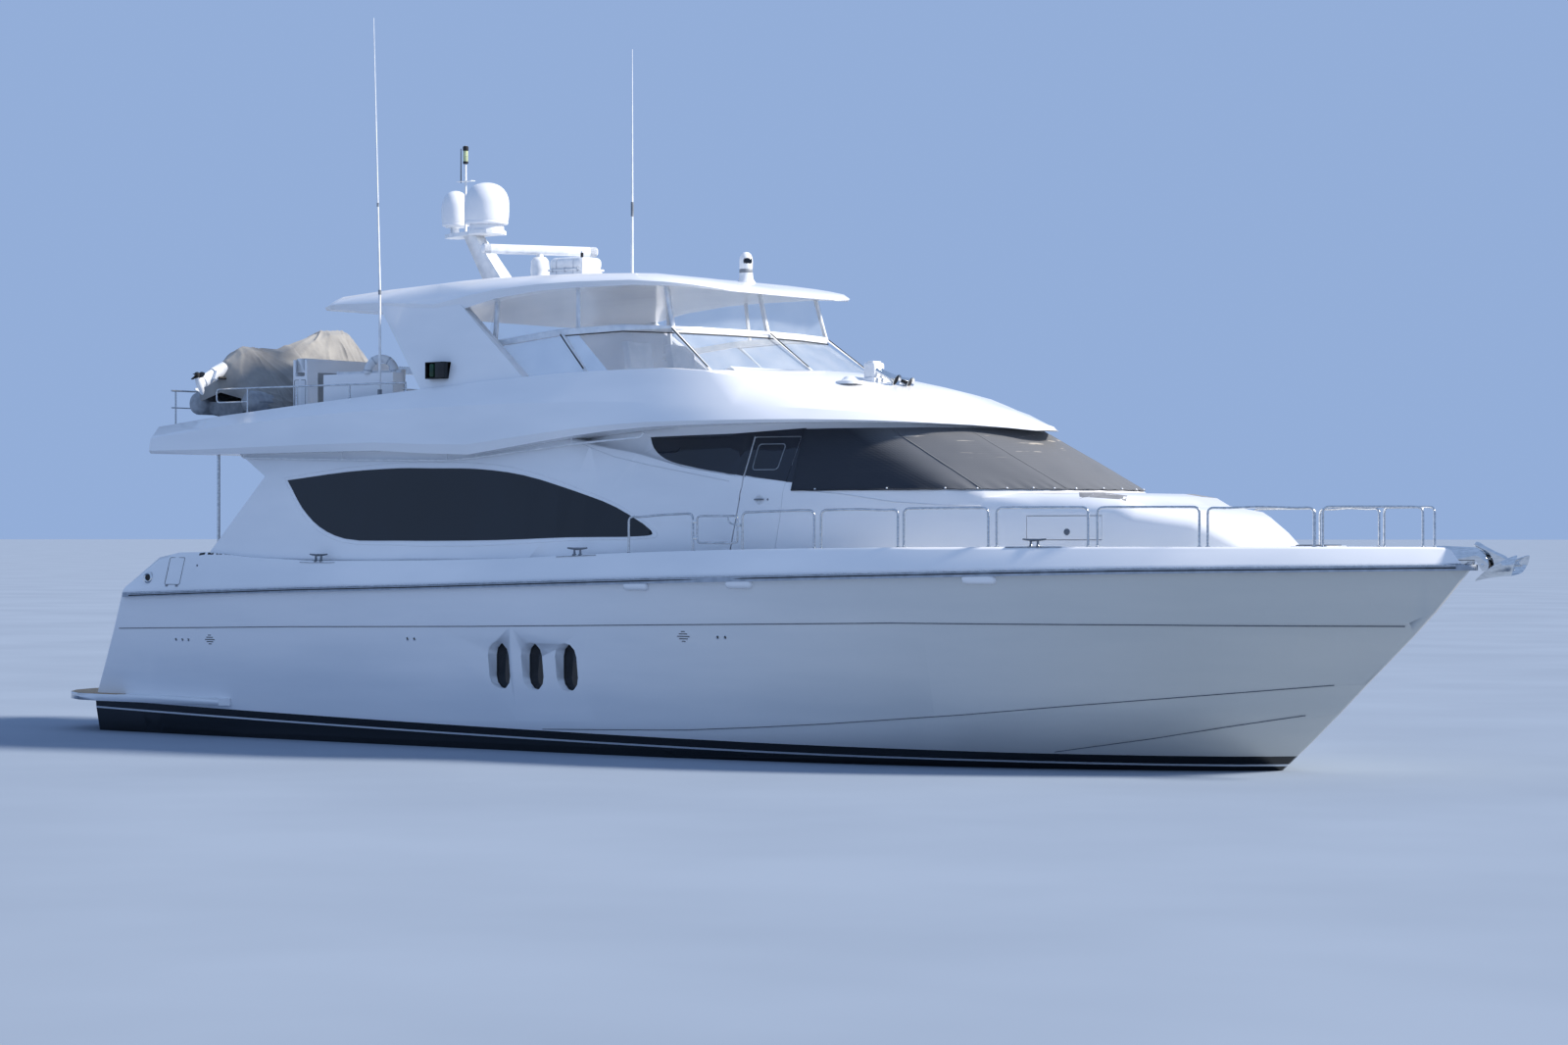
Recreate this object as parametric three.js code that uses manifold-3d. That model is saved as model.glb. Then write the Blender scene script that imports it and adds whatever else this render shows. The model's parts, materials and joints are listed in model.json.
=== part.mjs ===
// A 24 m motor yacht afloat: raised pilothouse, covered windscreen, flybridge under a hardtop,
// boat deck with a tender and a davit, twin shafts with propellers and rudders.
// Millimetres, +X to the bow, +Y to port, +Z up. The origin is amidships on the waterline.
import * as THREE from "three";
import { mergeVertices } from "three/addons/utils/BufferGeometryUtils.js";
import Module from "manifold-3d";

const wasm = await Module();
wasm.setup();

// Driving dimensions.
const seatGap = 0.3; // between a piece and what carries it
const runningGap = 8; // round a piece that moves
const stemHalf = 30; // half the stem's width
const transomFoot = -10630; // x of the transom at and below the waterline
const transomRake = 0.478; // how far it leans forward for each unit of height
const rakeStart = 500; // z where it starts to lean
const wallThick = 90; // deckhouse walls
const paneSink = 6; // the panes lie this far below the outer skin
const deckSlab = 60; // deck thickness
const flyFloor = 4800; // top of the flybridge and boat deck floor
const aftBulkhead = -6870; // x of the saloon's aft wall

const paints = {
  gelcoat: { color: 0xf2f4f5, roughness: 0.25, metalness: 0 },
  nonskid: { color: 0xe4e4df, roughness: 0.8, metalness: 0 },
  darkGlass: { color: 0x10161f, roughness: 0.08, metalness: 0 },
  clearGlass: { color: 0xcfdde4, roughness: 0.05, metalness: 0, transparent: true, opacity: 0.35 },
  steel: { color: 0xc4c8cb, roughness: 0.2, metalness: 1 },
  bronze: { color: 0x9a7440, roughness: 0.35, metalness: 1 },
  fender: { color: 0x8b8e8f, roughness: 0.6, metalness: 0 },
  mesh: { color: 0x24262a, roughness: 0.9, metalness: 0 },
  canvas: { color: 0x8b8a88, roughness: 0.95, metalness: 0 },
  vinyl: { color: 0xe9e4d8, roughness: 0.6, metalness: 0 },
  antifouling: { color: 0x14151a, roughness: 0.7, metalness: 0 },
  teak: { color: 0xa9814f, roughness: 0.7, metalness: 0 },
  blackPlastic: { color: 0x141518, roughness: 0.5, metalness: 0 },
};

const yacht = new THREE.Group();

// Shared tools.

// A closed three.js geometry as a solid that can be joined and cut.
function solid(geometry) {
  const flat = geometry.index ? geometry.toNonIndexed() : geometry.clone();
  for (const name of Object.keys(flat.attributes)) {
    if (name !== "position") flat.deleteAttribute(name);
  }
  const merged = mergeVertices(flat, 1e-3);
  const corners = [];
  for (let i = 0; i < merged.index.count; i += 3) {
    const [a, b, c] = [0, 1, 2].map((k) => merged.index.getX(i + k));
    if (a !== b && b !== c && a !== c) corners.push(a, b, c);
  }
  const make = (triVerts) =>
    new wasm.Manifold(
      new wasm.Mesh({
        numProp: 3,
        vertProperties: merged.attributes.position.array,
        triVerts: new Uint32Array(triVerts),
      }),
    );
  const made = make(corners);
  return made.volume() >= 0 ? made : make(corners.reverse());
}

// Adds a solid to the yacht as a named mesh.
function add(name, made, paint) {
  const { vertProperties, triVerts, numProp } = made.getMesh();
  const positions = [];
  for (const i of triVerts) {
    for (let k = 0; k < 3; k++) positions.push(vertProperties[i * numProp + k]);
  }
  const geometry = new THREE.BufferGeometry();
  geometry.setAttribute("position", new THREE.Float32BufferAttribute(positions, 3));
  geometry.computeVertexNormals();
  const mesh = new THREE.Mesh(geometry, new THREE.MeshStandardMaterial(paints[paint]));
  mesh.name = name;
  yacht.add(mesh);
}

const join = (pieces) => pieces.reduce((all, piece) => all.add(piece));
const mirrored = (made) => made.mirror([0, 1, 0]);
const both = (made) => made.add(mirrored(made));
const sides = { starboard: (made) => made, port: mirrored };

// A smooth curve through rows of [x, value] that doesn't overshoot them.
function through(rows) {
  const slopes = rows.slice(1).map(([x, v], i) => (v - rows[i][1]) / (x - rows[i][0]));
  const tangents = rows.map((_, i) => {
    if (i === 0) return slopes[0];
    if (i === rows.length - 1) return slopes[i - 1];
    const [a, b] = [slopes[i - 1], slopes[i]];
    return a * b <= 0 ? 0 : (2 * a * b) / (a + b);
  });
  return (x) => {
    if (x <= rows[0][0]) return rows[0][1];
    if (x >= rows.at(-1)[0]) return rows.at(-1)[1];
    const i = rows.findIndex((row) => row[0] > x) - 1;
    const span = rows[i + 1][0] - rows[i][0];
    const t = (x - rows[i][0]) / span;
    const s = 1 - t;
    return (
      rows[i][1] * (1 + 2 * t) * s * s +
      rows[i + 1][1] * (3 - 2 * t) * t * t +
      span * (tangents[i] * t * s * s - tangents[i + 1] * s * t * t)
    );
  };
}

// A closed outline through its points, smooth except at the corners given by their index.
function curved(points, corners, steps = 3) {
  return corners.flatMap((start, k) => {
    const end = k + 1 < corners.length ? corners[k + 1] : corners[0] + points.length;
    const run = points.concat(points).slice(start, end + 1);
    const knots = run.map(([x, z]) => new THREE.Vector3(x, z, 0));
    const curve = new THREE.CatmullRomCurve3(knots, false, "centripetal");
    const count = run.length === 2 ? 1 : (run.length - 1) * steps;
    const at = Array.from({ length: count }, (_, i) => curve.getPoint(i / count));
    return at.map((point) => [point.x, point.y]);
  });
}

// One smooth curve for each named column of a table whose first column is x.
function columns(names, table) {
  return Object.fromEntries(
    names.map((name, k) => [name, through(table.map((row) => [row[0], row[k + 1]]))]),
  );
}

// The triangles that fill a ring of points, seen along its thinnest direction.
function fill(ring) {
  const kept = ring.map((p, i) => [p, i]).filter(([p], k, all) => {
    const q = all[(k + all.length - 1) % all.length][0];
    return Math.hypot(p[0] - q[0], p[1] - q[1], p[2] - q[2]) > 1e-3;
  });
  const normal = [0, 0, 0];
  kept.forEach(([p], k) => {
    const q = kept[(k + 1) % kept.length][0];
    for (let a = 0; a < 3; a++) {
      const [b, c] = [(a + 1) % 3, (a + 2) % 3];
      normal[a] += (p[b] - q[b]) * (p[c] + q[c]);
    }
  });
  const drop = normal.map(Math.abs).indexOf(Math.max(...normal.map(Math.abs)));
  const [u, v] = [(drop + 1) % 3, (drop + 2) % 3];
  const outline = kept.map(([p]) => new THREE.Vector2(p[u], p[v]));
  const flip = THREE.ShapeUtils.isClockWise(outline);
  if (flip) outline.reverse();
  const place = (k) => kept[flip ? kept.length - 1 - k : k][1];
  return THREE.ShapeUtils.triangulateShape(outline, []).map((face) => {
    const corners = face.map(place);
    return flip ? corners.reverse() : corners;
  });
}

// A closed skin over rings that have equally many points.
function loft(rings) {
  const count = rings[0].length;
  const points = rings.flat(1);
  const distance = (a, b) => Math.hypot(...points[a].map((v, k) => v - points[b][k]));
  const index = [];
  for (let i = 0; i + 1 < rings.length; i++) {
    for (let j = 0; j < count; j++) {
      const k = (j + 1) % count;
      const [a, b, c, d] = [i * count + j, i * count + k, (i + 1) * count + k, (i + 1) * count + j];
      if (distance(a, c) <= distance(b, d)) index.push(a, b, c, a, c, d);
      else index.push(a, b, d, b, c, d);
    }
  }
  const last = (rings.length - 1) * count;
  for (const [a, b, c] of fill(rings[0])) index.push(c, b, a);
  for (const [a, b, c] of fill(rings.at(-1))) index.push(last + a, last + b, last + c);
  const geometry = new THREE.BufferGeometry();
  geometry.setAttribute("position", new THREE.Float32BufferAttribute(points.flat(), 3));
  geometry.setIndex(index);
  return solid(geometry);
}

// A half section of [y, z] points from the keel side up, mirrored into a ring at x.
function ringAt(x, half) {
  const starboard = half.map(([y, z]) => [x, -y, z]);
  const port = half.map(([y, z]) => [x, y, z]).reverse();
  return [...starboard, ...port];
}

function box(x0, x1, y0, y1, z0, z1) {
  const made = new THREE.BoxGeometry(x1 - x0, y1 - y0, z1 - z0);
  return solid(made.translate((x0 + x1) / 2, (y0 + y1) / 2, (z0 + z1) / 2));
}

// An outline of [x, z] points carried across from y0 to y1.
function plate(points, y0, y1) {
  const shape = new THREE.Shape(points.map(([x, z]) => new THREE.Vector2(x, z)));
  const made = new THREE.ExtrudeGeometry(shape, { depth: y1 - y0, bevelEnabled: false });
  return solid(made.rotateX(Math.PI / 2).translate(0, y1, 0));
}

// An outline of [x, y] points carried up from z0 to z1.
function slab(points, z0, z1) {
  const shape = new THREE.Shape(points.map(([x, y]) => new THREE.Vector2(x, y)));
  const made = new THREE.ExtrudeGeometry(shape, { depth: z1 - z0, bevelEnabled: false });
  return solid(made.translate(0, 0, z0));
}

// A round bar from a to b.
function rod(a, b, radius, sidesCount = 8, endRadius = radius) {
  const [p, q] = [new THREE.Vector3(...a), new THREE.Vector3(...b)];
  const made = new THREE.CylinderGeometry(endRadius, radius, p.distanceTo(q), sidesCount);
  const turn = new THREE.Quaternion().setFromUnitVectors(
    new THREE.Vector3(0, 1, 0),
    q.clone().sub(p).normalize(),
  );
  const middle = p.clone().add(q).multiplyScalar(0.5);
  return solid(made.applyQuaternion(turn).translate(middle.x, middle.y, middle.z));
}

// A square bar from a to b, level across.
function bar(a, b, across, deep) {
  const [p, q] = [new THREE.Vector3(...a), new THREE.Vector3(...b)];
  const along = q.clone().sub(p).normalize();
  const level = new THREE.Vector3(-along.y, along.x, 0);
  if (level.length() < 1e-3) level.set(0, 1, 0);
  level.normalize();
  const rise = along.clone().cross(level);
  const turn = new THREE.Matrix4().makeBasis(along, level, rise);
  const made = new THREE.BoxGeometry(p.distanceTo(q), across, deep).applyMatrix4(turn);
  const middle = p.clone().add(q).multiplyScalar(0.5);
  return solid(made.translate(middle.x, middle.y, middle.z));
}

// A profile of [radius, z] points turned about an upright axis at (x, y).
function turned(profile, x, y, segments = 16) {
  const points = profile.map(([r, z]) => new THREE.Vector2(r, z));
  const made = new THREE.LatheGeometry(points, segments).rotateX(Math.PI / 2);
  return solid(made.translate(x, y, 0));
}

// Moves each corner of a closed outline inwards by a distance.
function inset(points, distance) {
  const turnSign = THREE.ShapeUtils.isClockWise(points.map(([x, y]) => new THREE.Vector2(x, y)))
    ? -1
    : 1;
  return points.map(([x, y], i) => {
    const [ax, ay] = points[(i + points.length - 1) % points.length];
    const [bx, by] = points[(i + 1) % points.length];
    const u = new THREE.Vector2(x - ax, y - ay).normalize();
    const v = new THREE.Vector2(bx - x, by - y).normalize();
    const normal = new THREE.Vector2(-u.y - v.y, u.x + v.x).normalize();
    const reach = distance / Math.max(0.45, Math.hypot(u.x + v.x, u.y + v.y) / 2);
    return [x + normal.x * reach * turnSign, y + normal.y * reach * turnSign];
  });
}

// What is left of a piece above a carrier that it would otherwise sink into.

// The largest body of a solid, without the crumbs that a cut leaves.
const main = (made) => made.decompose().sort((a, b) => b.volume() - a.volume())[0];

// Hull.
const hullLines = columns(
  ["keelZ", "chineY", "chineZ", "sprayY", "sprayZ", "knuckleY", "knuckleZ", "sheerY", "sheerZ"],
  [
    // x, keel z, chine y z, spray line y z, knuckle y z, sheer y z
    [-10630, -850, 2700, -60, 2790, 380, 2880, 1640, 2940, 2200],
    [-7000, -1050, 2800, -60, 2890, 400, 3040, 1710, 3120, 2310],
    [-3000, -1250, 2850, -30, 2950, 430, 3110, 1790, 3190, 2415],
    [0, -1350, 2830, 0, 2940, 470, 3110, 1850, 3200, 2500],
    [2500, -1380, 2700, 60, 2860, 530, 3060, 1900, 3175, 2565],
    [4500, -1330, 2430, 130, 2650, 620, 2910, 1940, 3060, 2615],
    [6500, -1130, 1990, 240, 2230, 760, 2560, 1960, 2710, 2662],
    [8000, -780, 1520, 390, 1760, 900, 2110, 1970, 2250, 2695],
    [9000, -310, 1080, 545, 1320, 1000, 1700, 1975, 1840, 2712],
    [9400, 0, 860, 610, 1100, 1045, 1490, 1978, 1640, 2718],
    [10250, 780, 62, 790, 395, 1150, 985, 1980, 1215, 2728],
    [10650, 1170, 0, 1170, 0, 1190, 700, 1982, 990, 2733],
    [11350, 1840, 0, 1840, 0, 1840, 170, 1990, 550, 2742],
    [11650, 2140, 0, 2140, 0, 2140, 0, 2150, 345, 2745],
    [12000, 2540, 0, 2540, 0, 2540, 0, 2540, 100, 2749],
    [12180, 2745, 0, 2745, 0, 2745, 0, 2745, 0, 2752],
  ],
);
const hullStations = [
  transomFoot, -9850, -9500, -9080, -8600, -8000, -7000, -5600, -4300, -3000, -1500, 0, 1300,
  2500, 3500, 4500, 5500, 6500, 7300, 8000, 8600, 9000, 9400, 9850, 10250, 10650, 11000, 11350,
  11650, 11850, 12000, 12180,
];
const transomX = (z) => transomFoot + Math.max(0, z - rakeStart) * transomRake;
const aftOfTransom = plate(
  [
    [-12000, rakeStart],
    [transomFoot, rakeStart],
    [transomX(4000), 4000],
    [-12000, 4000],
  ],
  -4000,
  4000,
);

function hullRing(x) {
  const at = Object.fromEntries(Object.entries(hullLines).map(([key, f]) => [key, f(x)]));
  return [
    [stemHalf, at.keelZ],
    [Math.max(stemHalf, at.chineY), Math.max(at.keelZ, at.chineZ)],
    [Math.max(stemHalf, at.sprayY), Math.max(at.keelZ, at.sprayZ)],
    [Math.max(stemHalf, at.knuckleY), Math.max(at.keelZ, at.knuckleZ)],
    [Math.max(stemHalf, at.sheerY), at.sheerZ],
  ];
}
const hullSkin = loft(hullStations.map((x) => ringAt(x, hullRing(x)))).subtract(aftOfTransom);

// Deck moulding: bulwark, cap and coaming above the hull's edge.
const capZ = through([
  [-9850, 2260],
  [-9490, 2550],
  [-9080, 2780],
  [-8600, 2860],
  [-7840, 2870],
  [-7140, 2800],
  [-6000, 2740],
  [-2400, 2770],
  [580, 2880],
  [2590, 2930],
  [5230, 2965],
  [8000, 2975],
  [11600, 2975],
  [11950, 2955],
  [12180, 2790],
]);
const capLean = 150; // how far the bulwark leans in
const deckZ = through([
  [-9300, 2050],
  [-1000, 2050],
  [600, 2150],
  [2500, 2350],
  [6000, 2480],
  [11600, 2560],
]);
const cockpitAft = -9250;
const foredeckTip = 11350;
const capInset = through([
  [-300, 400],
  [900, 340],
]);
const innerY = (x) => Math.max(60, hullLines.sheerY(x) - capInset(x));
const mouldingRing = (x) => {
  const y = Math.max(stemHalf, hullLines.sheerY(x));
  const z = hullLines.sheerZ(x) + seatGap;
  const cap = Math.max(z + 6, capZ(x));
  const shoulder = Math.max(stemHalf, y - capLean * Math.min(1, (cap - z) / 300));
  return [
    [y, z],
    [y, z + (cap - z) * 0.12],
    [Math.max(stemHalf, shoulder + 18), cap - (cap - z) * 0.12],
    [Math.max(stemHalf, shoulder - 14), cap],
  ];
};
const wellStations = [cockpitAft, ...hullStations.filter((x) => x > cockpitAft && x < foredeckTip)];
wellStations.push(foredeckTip);
const well = (lowOf, highOf, side) =>
  loft(
    wellStations.map((x) =>
      ringAt(x, [
        [innerY(x) - side, lowOf(x)],
        [innerY(x) - side, highOf(x)],
      ]),
    ),
  );
const sky = () => 4000;
const wholeWell = well((x) => deckZ(x) - deckSlab, sky, 0);
const aboveDeck = well((x) => deckZ(x) + seatGap, () => 6000, 0.5);

// Steps from the swim platform up to the aft deck, one flight on each side.
const platformTop = 600;
const platformThick = 110;
const stepCount = 6;
const stepRun = 230;
const stepRise = (deckZ(cockpitAft) - platformTop) / stepCount;
const stairInner = 1700;
const stairOuter = 2500;
const stairLine = [[-11500, platformTop + seatGap]];
for (let i = 0; i < stepCount; i++) {
  const x = cockpitAft - 10 - stepRun * (stepCount - 1 - i);
  const tread = platformTop + seatGap + stepRise * i;
  stairLine.push([x, tread], [x, tread + stepRise]);
}
stairLine.push([cockpitAft + 60, deckZ(cockpitAft) + seatGap], [cockpitAft + 60, 4000], [-11500, 4000]);
const stairs = plate(stairLine, -stairOuter, -stairInner);

// Portlights: three upright ovals sunk in each topside.
const portlight = { x: [-1770, -1135, -490], z: 1240, width: 400, height: 700, depth: 130 };
function oval(x, z, width, height, steps = 6) {
  const r = width / 2;
  const points = [];
  for (let i = 0; i <= steps; i++) {
    const angle = (Math.PI * i) / steps;
    points.push([x + r * Math.cos(angle), z + (height / 2 - r) + r * Math.sin(angle)]);
  }
  return [...points, ...points.map(([px, pz]) => [2 * x - px, 2 * z - pz])];
}
const portlights = join(
  portlight.x.map((x) =>
    plate(
      oval(x, portlight.z, portlight.width, portlight.height),
      -4000,
      portlight.depth - (hullLines.chineY(x) + hullLines.knuckleY(x)) / 2,
    ),
  ),
);
const keelShoe = { x0: -6500, x1: 3200, half: 90, z: -1560 };
const keel = plate(
  [
    [keelShoe.x0, -900],
    [keelShoe.x0 + 500, keelShoe.z],
    [keelShoe.x1, keelShoe.z],
    [keelShoe.x1 + 1500, -1250],
    [keelShoe.x1 + 1500, -900],
  ],
  -keelShoe.half,
  keelShoe.half,
);
add("keel", keel.subtract(hullSkin.translate([0, 0, -seatGap])), "antifouling");

// The hull below the deck, the topsides above the knuckle round it, and the stern with its steps.
const knuckleLine = hullStations.map((x) => [x, hullLines.knuckleZ(x)]);
const belowKnuckle = (drop) =>
  plate(
    [
      [-12000, -3000],
      [-12000, 1640 - drop],
      ...knuckleLine.map(([x, z]) => [x, z - drop]),
      [13000, 2745 - drop],
      [13000, -3000],
    ],
    -4000,
    4000,
  );
const underDeck = well(() => 1500, (x) => deckZ(x) - deckSlab, 0.5);
const sternPart = (x) => box(-12000, x, -4000, 4000, -3000, 4000);
const hull = hullSkin
  .intersect(belowKnuckle(seatGap).add(underDeck))
  .subtract(sternPart(cockpitAft))
  .subtract(both(portlights));
const topsides = hullSkin
  .subtract(belowKnuckle(0))
  .subtract(well(() => -3000, sky, 0))
  .subtract(sternPart(cockpitAft));
const stern = hullSkin.intersect(sternPart(cockpitAft - seatGap)).subtract(both(stairs));
add("hull", main(hull), "gelcoat");
add("hull_topsides", main(topsides), "gelcoat");
add("hull_stern", main(stern), "gelcoat");

const mouldingSkin = loft(hullStations.map((x) => ringAt(x, mouldingRing(x)))).subtract(aftOfTransom);
const transomGap = box(-11500, cockpitAft + 60, -stairOuter, stairOuter, 0, 4000);
add("deck_moulding", main(mouldingSkin.subtract(wholeWell).subtract(transomGap)), "gelcoat");
const mainDeck = well((x) => deckZ(x) - deckSlab + seatGap, deckZ, 0.5);
add("main_deck", mainDeck, "teak");

// Transom seat between the two flights of steps.
const seatHalf = stairInner - 20;
const transomSeat = plate(
  [
    [transomX(2215), 2215],
    [-9620, 2600],
    [-9330, 2620],
    [-9200, 2480],
    [-8650, 2480],
    [-8620, deckZ(-9000) + seatGap],
    [cockpitAft + 1, deckZ(-9000) + seatGap],
    [cockpitAft + 1, 2215],
  ],
  -seatHalf,
  seatHalf,
);
const hullGrown = hullSkin.scale([1.00003, 1.00015, 1]);
const underSeat = hullSkin.subtract(wholeWell).translate([0, 0, seatGap]);
add("transom_seat", main(transomSeat.subtract(underSeat)), "gelcoat");

// Rub rail round the sheer.
const railRing = (x, wide) =>
  ringAt(x, [
    [Math.max(stemHalf, hullLines.sheerY(x)) + wide, hullLines.sheerZ(x) - 78],
    [Math.max(stemHalf, hullLines.sheerY(x)) + wide, hullLines.sheerZ(x) - 4],
  ]);
const rubBand = loft([
  railRing(-9760, 45),
  ...hullStations.slice(2).map((x) => railRing(x, 45)),
  railRing(12225, 5),
]);
add("rub_rail", main(rubBand.subtract(hullGrown)), "fender");

// Swim platform with a ledge running forward along each topside.
const platformEdge = [
  [-7440, 2930],
  [-7600, 3010],
  [-10300, 3040],
  [-10850, 2960],
  [-11350, 2680],
  [-11700, 2250],
  [-11900, 1700],
];
const mirrorRow = ([x, y]) => [x, -y];
const platformPlan = [...platformEdge, ...platformEdge.map(mirrorRow).reverse()];
const platformSlab = slab(platformPlan, platformTop - platformThick, platformTop);
add("swim_platform", main(platformSlab.subtract(hullGrown)), "teak");

// Deckhouse: saloon, pilothouse and coachroof in one moulding.
const saloonLines = columns(
  ["footY", "topY", "topZ", "innerTopZ"],
  [
    [-8100, 2810, 2650, 4700, 5000],
    [-6870, 2830, 2650, 4700, 5000],
    [-4000, 2850, 2660, 4700, 5000],
    [-1500, 2850, 2660, 4700, 5000],
    [-900, 2840, 2650, 4600, 4510],
    [-400, 2820, 2620, 4430, 4340],
    [400, 2750, 2540, 4290, 4200],
    [1200, 2650, 2440, 4080, 3990],
    [2600, 2500, 2400, 3900, 3810],
    [4500, 2260, 2210, 3760, 3670],
    [5600, 1930, 1890, 3640, 3550],
  ],
);
const saloonStations = [-8100, -6870, -4000, -1500, -900, -400, 400, 1200, 2000, 3200, 4500, 5600];
const saloonLoft = (stations, inward, topOf) =>
  loft(
    stations.map((x) =>
      ringAt(x, [
        [saloonLines.footY(x) - inward, 1900],
        [saloonLines.footY(x) - inward, 2800],
        [saloonLines.topY(x) - inward, topOf(x)],
      ]),
    ),
  );
const pilothouseLow = [
  [-500, 2520],
  [1200, 2490],
  [3000, 2420],
  [4400, 2250],
  [5420, 2050],
  [5850, 1800],
  [6200, 1500],
  [6500, 1250],
  [6700, 1000],
  [6900, 500],
  [6950, 0],
];
const pilothouseHigh = [
  [-500, 2380],
  [1000, 2300],
  [2300, 2200],
  [3100, 2080],
  [3650, 1950],
  [4180, 1740],
  [4600, 1500],
  [4850, 1260],
  [5050, 1000],
  [5250, 500],
  [5300, 0],
];
const sillZ = 3720;
const browZ = 4570;
function pilothouseRing(z, inward, aft) {
  const t = Math.max(0, (z - sillZ) / (browZ - sillZ));
  const half = pilothouseLow.map(([x, y], i) => {
    const [hx, hy] = pilothouseHigh[i];
    return [x + (hx - x) * t, y + (hy - y) * t];
  });
  half[0][0] = aft;
  const outline = [...half.map(mirrorRow), ...half.slice(0, -1).reverse()];
  return (inward ? inset(outline, inward) : outline).map(([x, y]) => [x, y, z]);
}
const pilothouseLoft = (inward, aft, low = 1900, high = 5000) =>
  loft([low, sillZ, browZ, high].map((z) => pilothouseRing(z, inward, aft)));
const coachroofLines = columns(
  ["halfY", "topZ"],
  [
    [3600, 2330, 3700],
    [4500, 2225, 3700],
    [5420, 2035, 3700],
    [6400, 1785, 3700],
    [6700, 1727, 3700],
    [7300, 1611, 3700],
    [7720, 1530, 3640],
    [7970, 1450, 3530],
    [8660, 1140, 3440],
    [9060, 910, 3230],
    [9450, 660, 2980],
    [9850, 340, 2500],
  ],
);
const coachroofStations = [4000, 4700, 5420, 5900, 6400, 6700, 7300, 7720, 7970, 8660, 9060, 9450, 9850];
const coachroofLoft = (inward, stations) =>
  loft(
    stations.map((x) => {
      const y = coachroofLines.halfY(x) - inward;
      const z = coachroofLines.topZ(x) - inward;
      return ringAt(x, [
        [y, 1900],
        [y - 10, z - 230],
        [y - 110, z - 70],
        [y - 330, z],
      ]);
    }),
  );
const saloonSkin = saloonLoft(saloonStations, 0, saloonLines.topZ);
const pilothouseSkin = pilothouseLoft(0, -1000);
const coachroofSkin = coachroofLoft(0, coachroofStations);
const houseSkin = join([saloonSkin, pilothouseSkin, coachroofSkin]);
const roomStations = [aftBulkhead + wallThick, ...saloonStations.slice(2)];
const houseRooms = join([
  saloonLoft(roomStations, wallThick, saloonLines.innerTopZ),
  pilothouseLoft(wallThick, -1200),
  coachroofLoft(wallThick, coachroofStations.slice(0, -1)),
]);
const aftSpace = saloonLoft([-8300, -8100, aftBulkhead], wallThick, () => 5000);
const wingOutline = [
  [-6700, 5000],
  [-7600, 5000],
  [-7500, 4420],
  [-7410, 4360],
  [-7170, 4210],
  [-6890, 4040],
  [-7990, 2890],
  [-8040, 2760],
  [-6700, 1900],
];
const houseOutline = plate([...wingOutline, [10500, 1900], [10500, 5000]], -4000, 4000);

const sideWindowPoints = [
  [-6400, 3980],
  [-5090, 4100],
  [-4010, 4140],
  [-3370, 4130],
  [-2480, 4110],
  [-1580, 4010],
  [-640, 3780],
  [140, 3530],
  [750, 3200],
  [780, 3140],
  [650, 3110],
  [-640, 3090],
  [-2000, 3050],
  [-4010, 3040],
  [-5090, 3070],
  [-5640, 3250],
  [-6040, 3540],
];
const upperWindowPoints = [
  [480, 4530],
  [2150, 4535],
  [2050, 3975],
  [1600, 4040],
  [1250, 4100],
  [800, 4210],
  [560, 4370],
];
const sideWindow = curved(sideWindowPoints, [0]);
const upperWindow = curved(upperWindowPoints, [0, 1, 2]);
const doorOutline = [
  [2040, 2620],
  [2780, 2620],
  [3020, 4500],
  [2280, 4500],
];
const lockerOutline = [
  [6500, 3060],
  [7560, 3060],
  [7560, 3390],
  [6500, 3390],
];
const cutThrough = (outline) => plate(outline, -4000, -600);
const screenBand = { low: 3790, high: 4520, aft: 3220 };
const screenOpening = box(screenBand.aft, 9000, -3000, 3000, screenBand.low, screenBand.high);
const saloonDoorway = box(aftBulkhead - 200, aftBulkhead + 300, -900, 900, 2120, 4150);
const shell = (skin, depth, thick) =>
  skin.translate([0, depth, 0]).subtract(skin.translate([0, depth + thick, 0]));

// Flybridge moulding, from the brow to the boat deck.
const flyLines = columns(
  ["lowY", "lowZ", "creaseY", "creaseZ", "topY", "topZ", "crownZ"],
  [
    [-9230, 2960, 4420, 2920, 4660, 2740, 4850, 4860],
    [-8000, 3000, 4385, 2930, 4790, 2690, 4985, 4995],
    [-6350, 3015, 4390, 2920, 4915, 2650, 5120, 5130],
    [-4310, 3020, 4395, 2910, 5005, 2620, 5270, 5280],
    [-3300, 3020, 4340, 2905, 5020, 2610, 5340, 5350],
    [-2450, 3020, 4310, 2900, 5035, 2600, 5400, 5410],
    [-1770, 3020, 4390, 2900, 5045, 2600, 5435, 5445],
    [-430, 3010, 4550, 2890, 5040, 2580, 5490, 5510],
    [860, 2980, 4650, 2840, 5000, 2520, 5500, 5560],
    [2200, 2800, 4680, 2650, 4930, 2290, 5330, 5500],
    [3300, 2450, 4690, 2310, 4880, 1900, 5080, 5340],
    [4200, 2000, 4680, 1870, 4800, 1430, 4930, 5150],
    [4800, 1520, 4660, 1400, 4715, 1020, 4785, 4960],
    [5150, 1070, 4640, 970, 4685, 680, 4735, 4865],
    [5450, 640, 4610, 560, 4640, 390, 4675, 4755],
    [5700, 300, 4575, 250, 4600, 150, 4625, 4665],
    [5790, 100, 4585, 90, 4600, 60, 4620, 4640],
  ],
);
const flyStations = [-9230, -8000, -6350, -5200, -4310, -3300, -2450, -1770, -1100, -430, 200, 860];
flyStations.push(1550, 2200, 2800, 3300, 3800, 4200, 4550, 4800, 5150, 5450, 5700, 5790);
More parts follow.
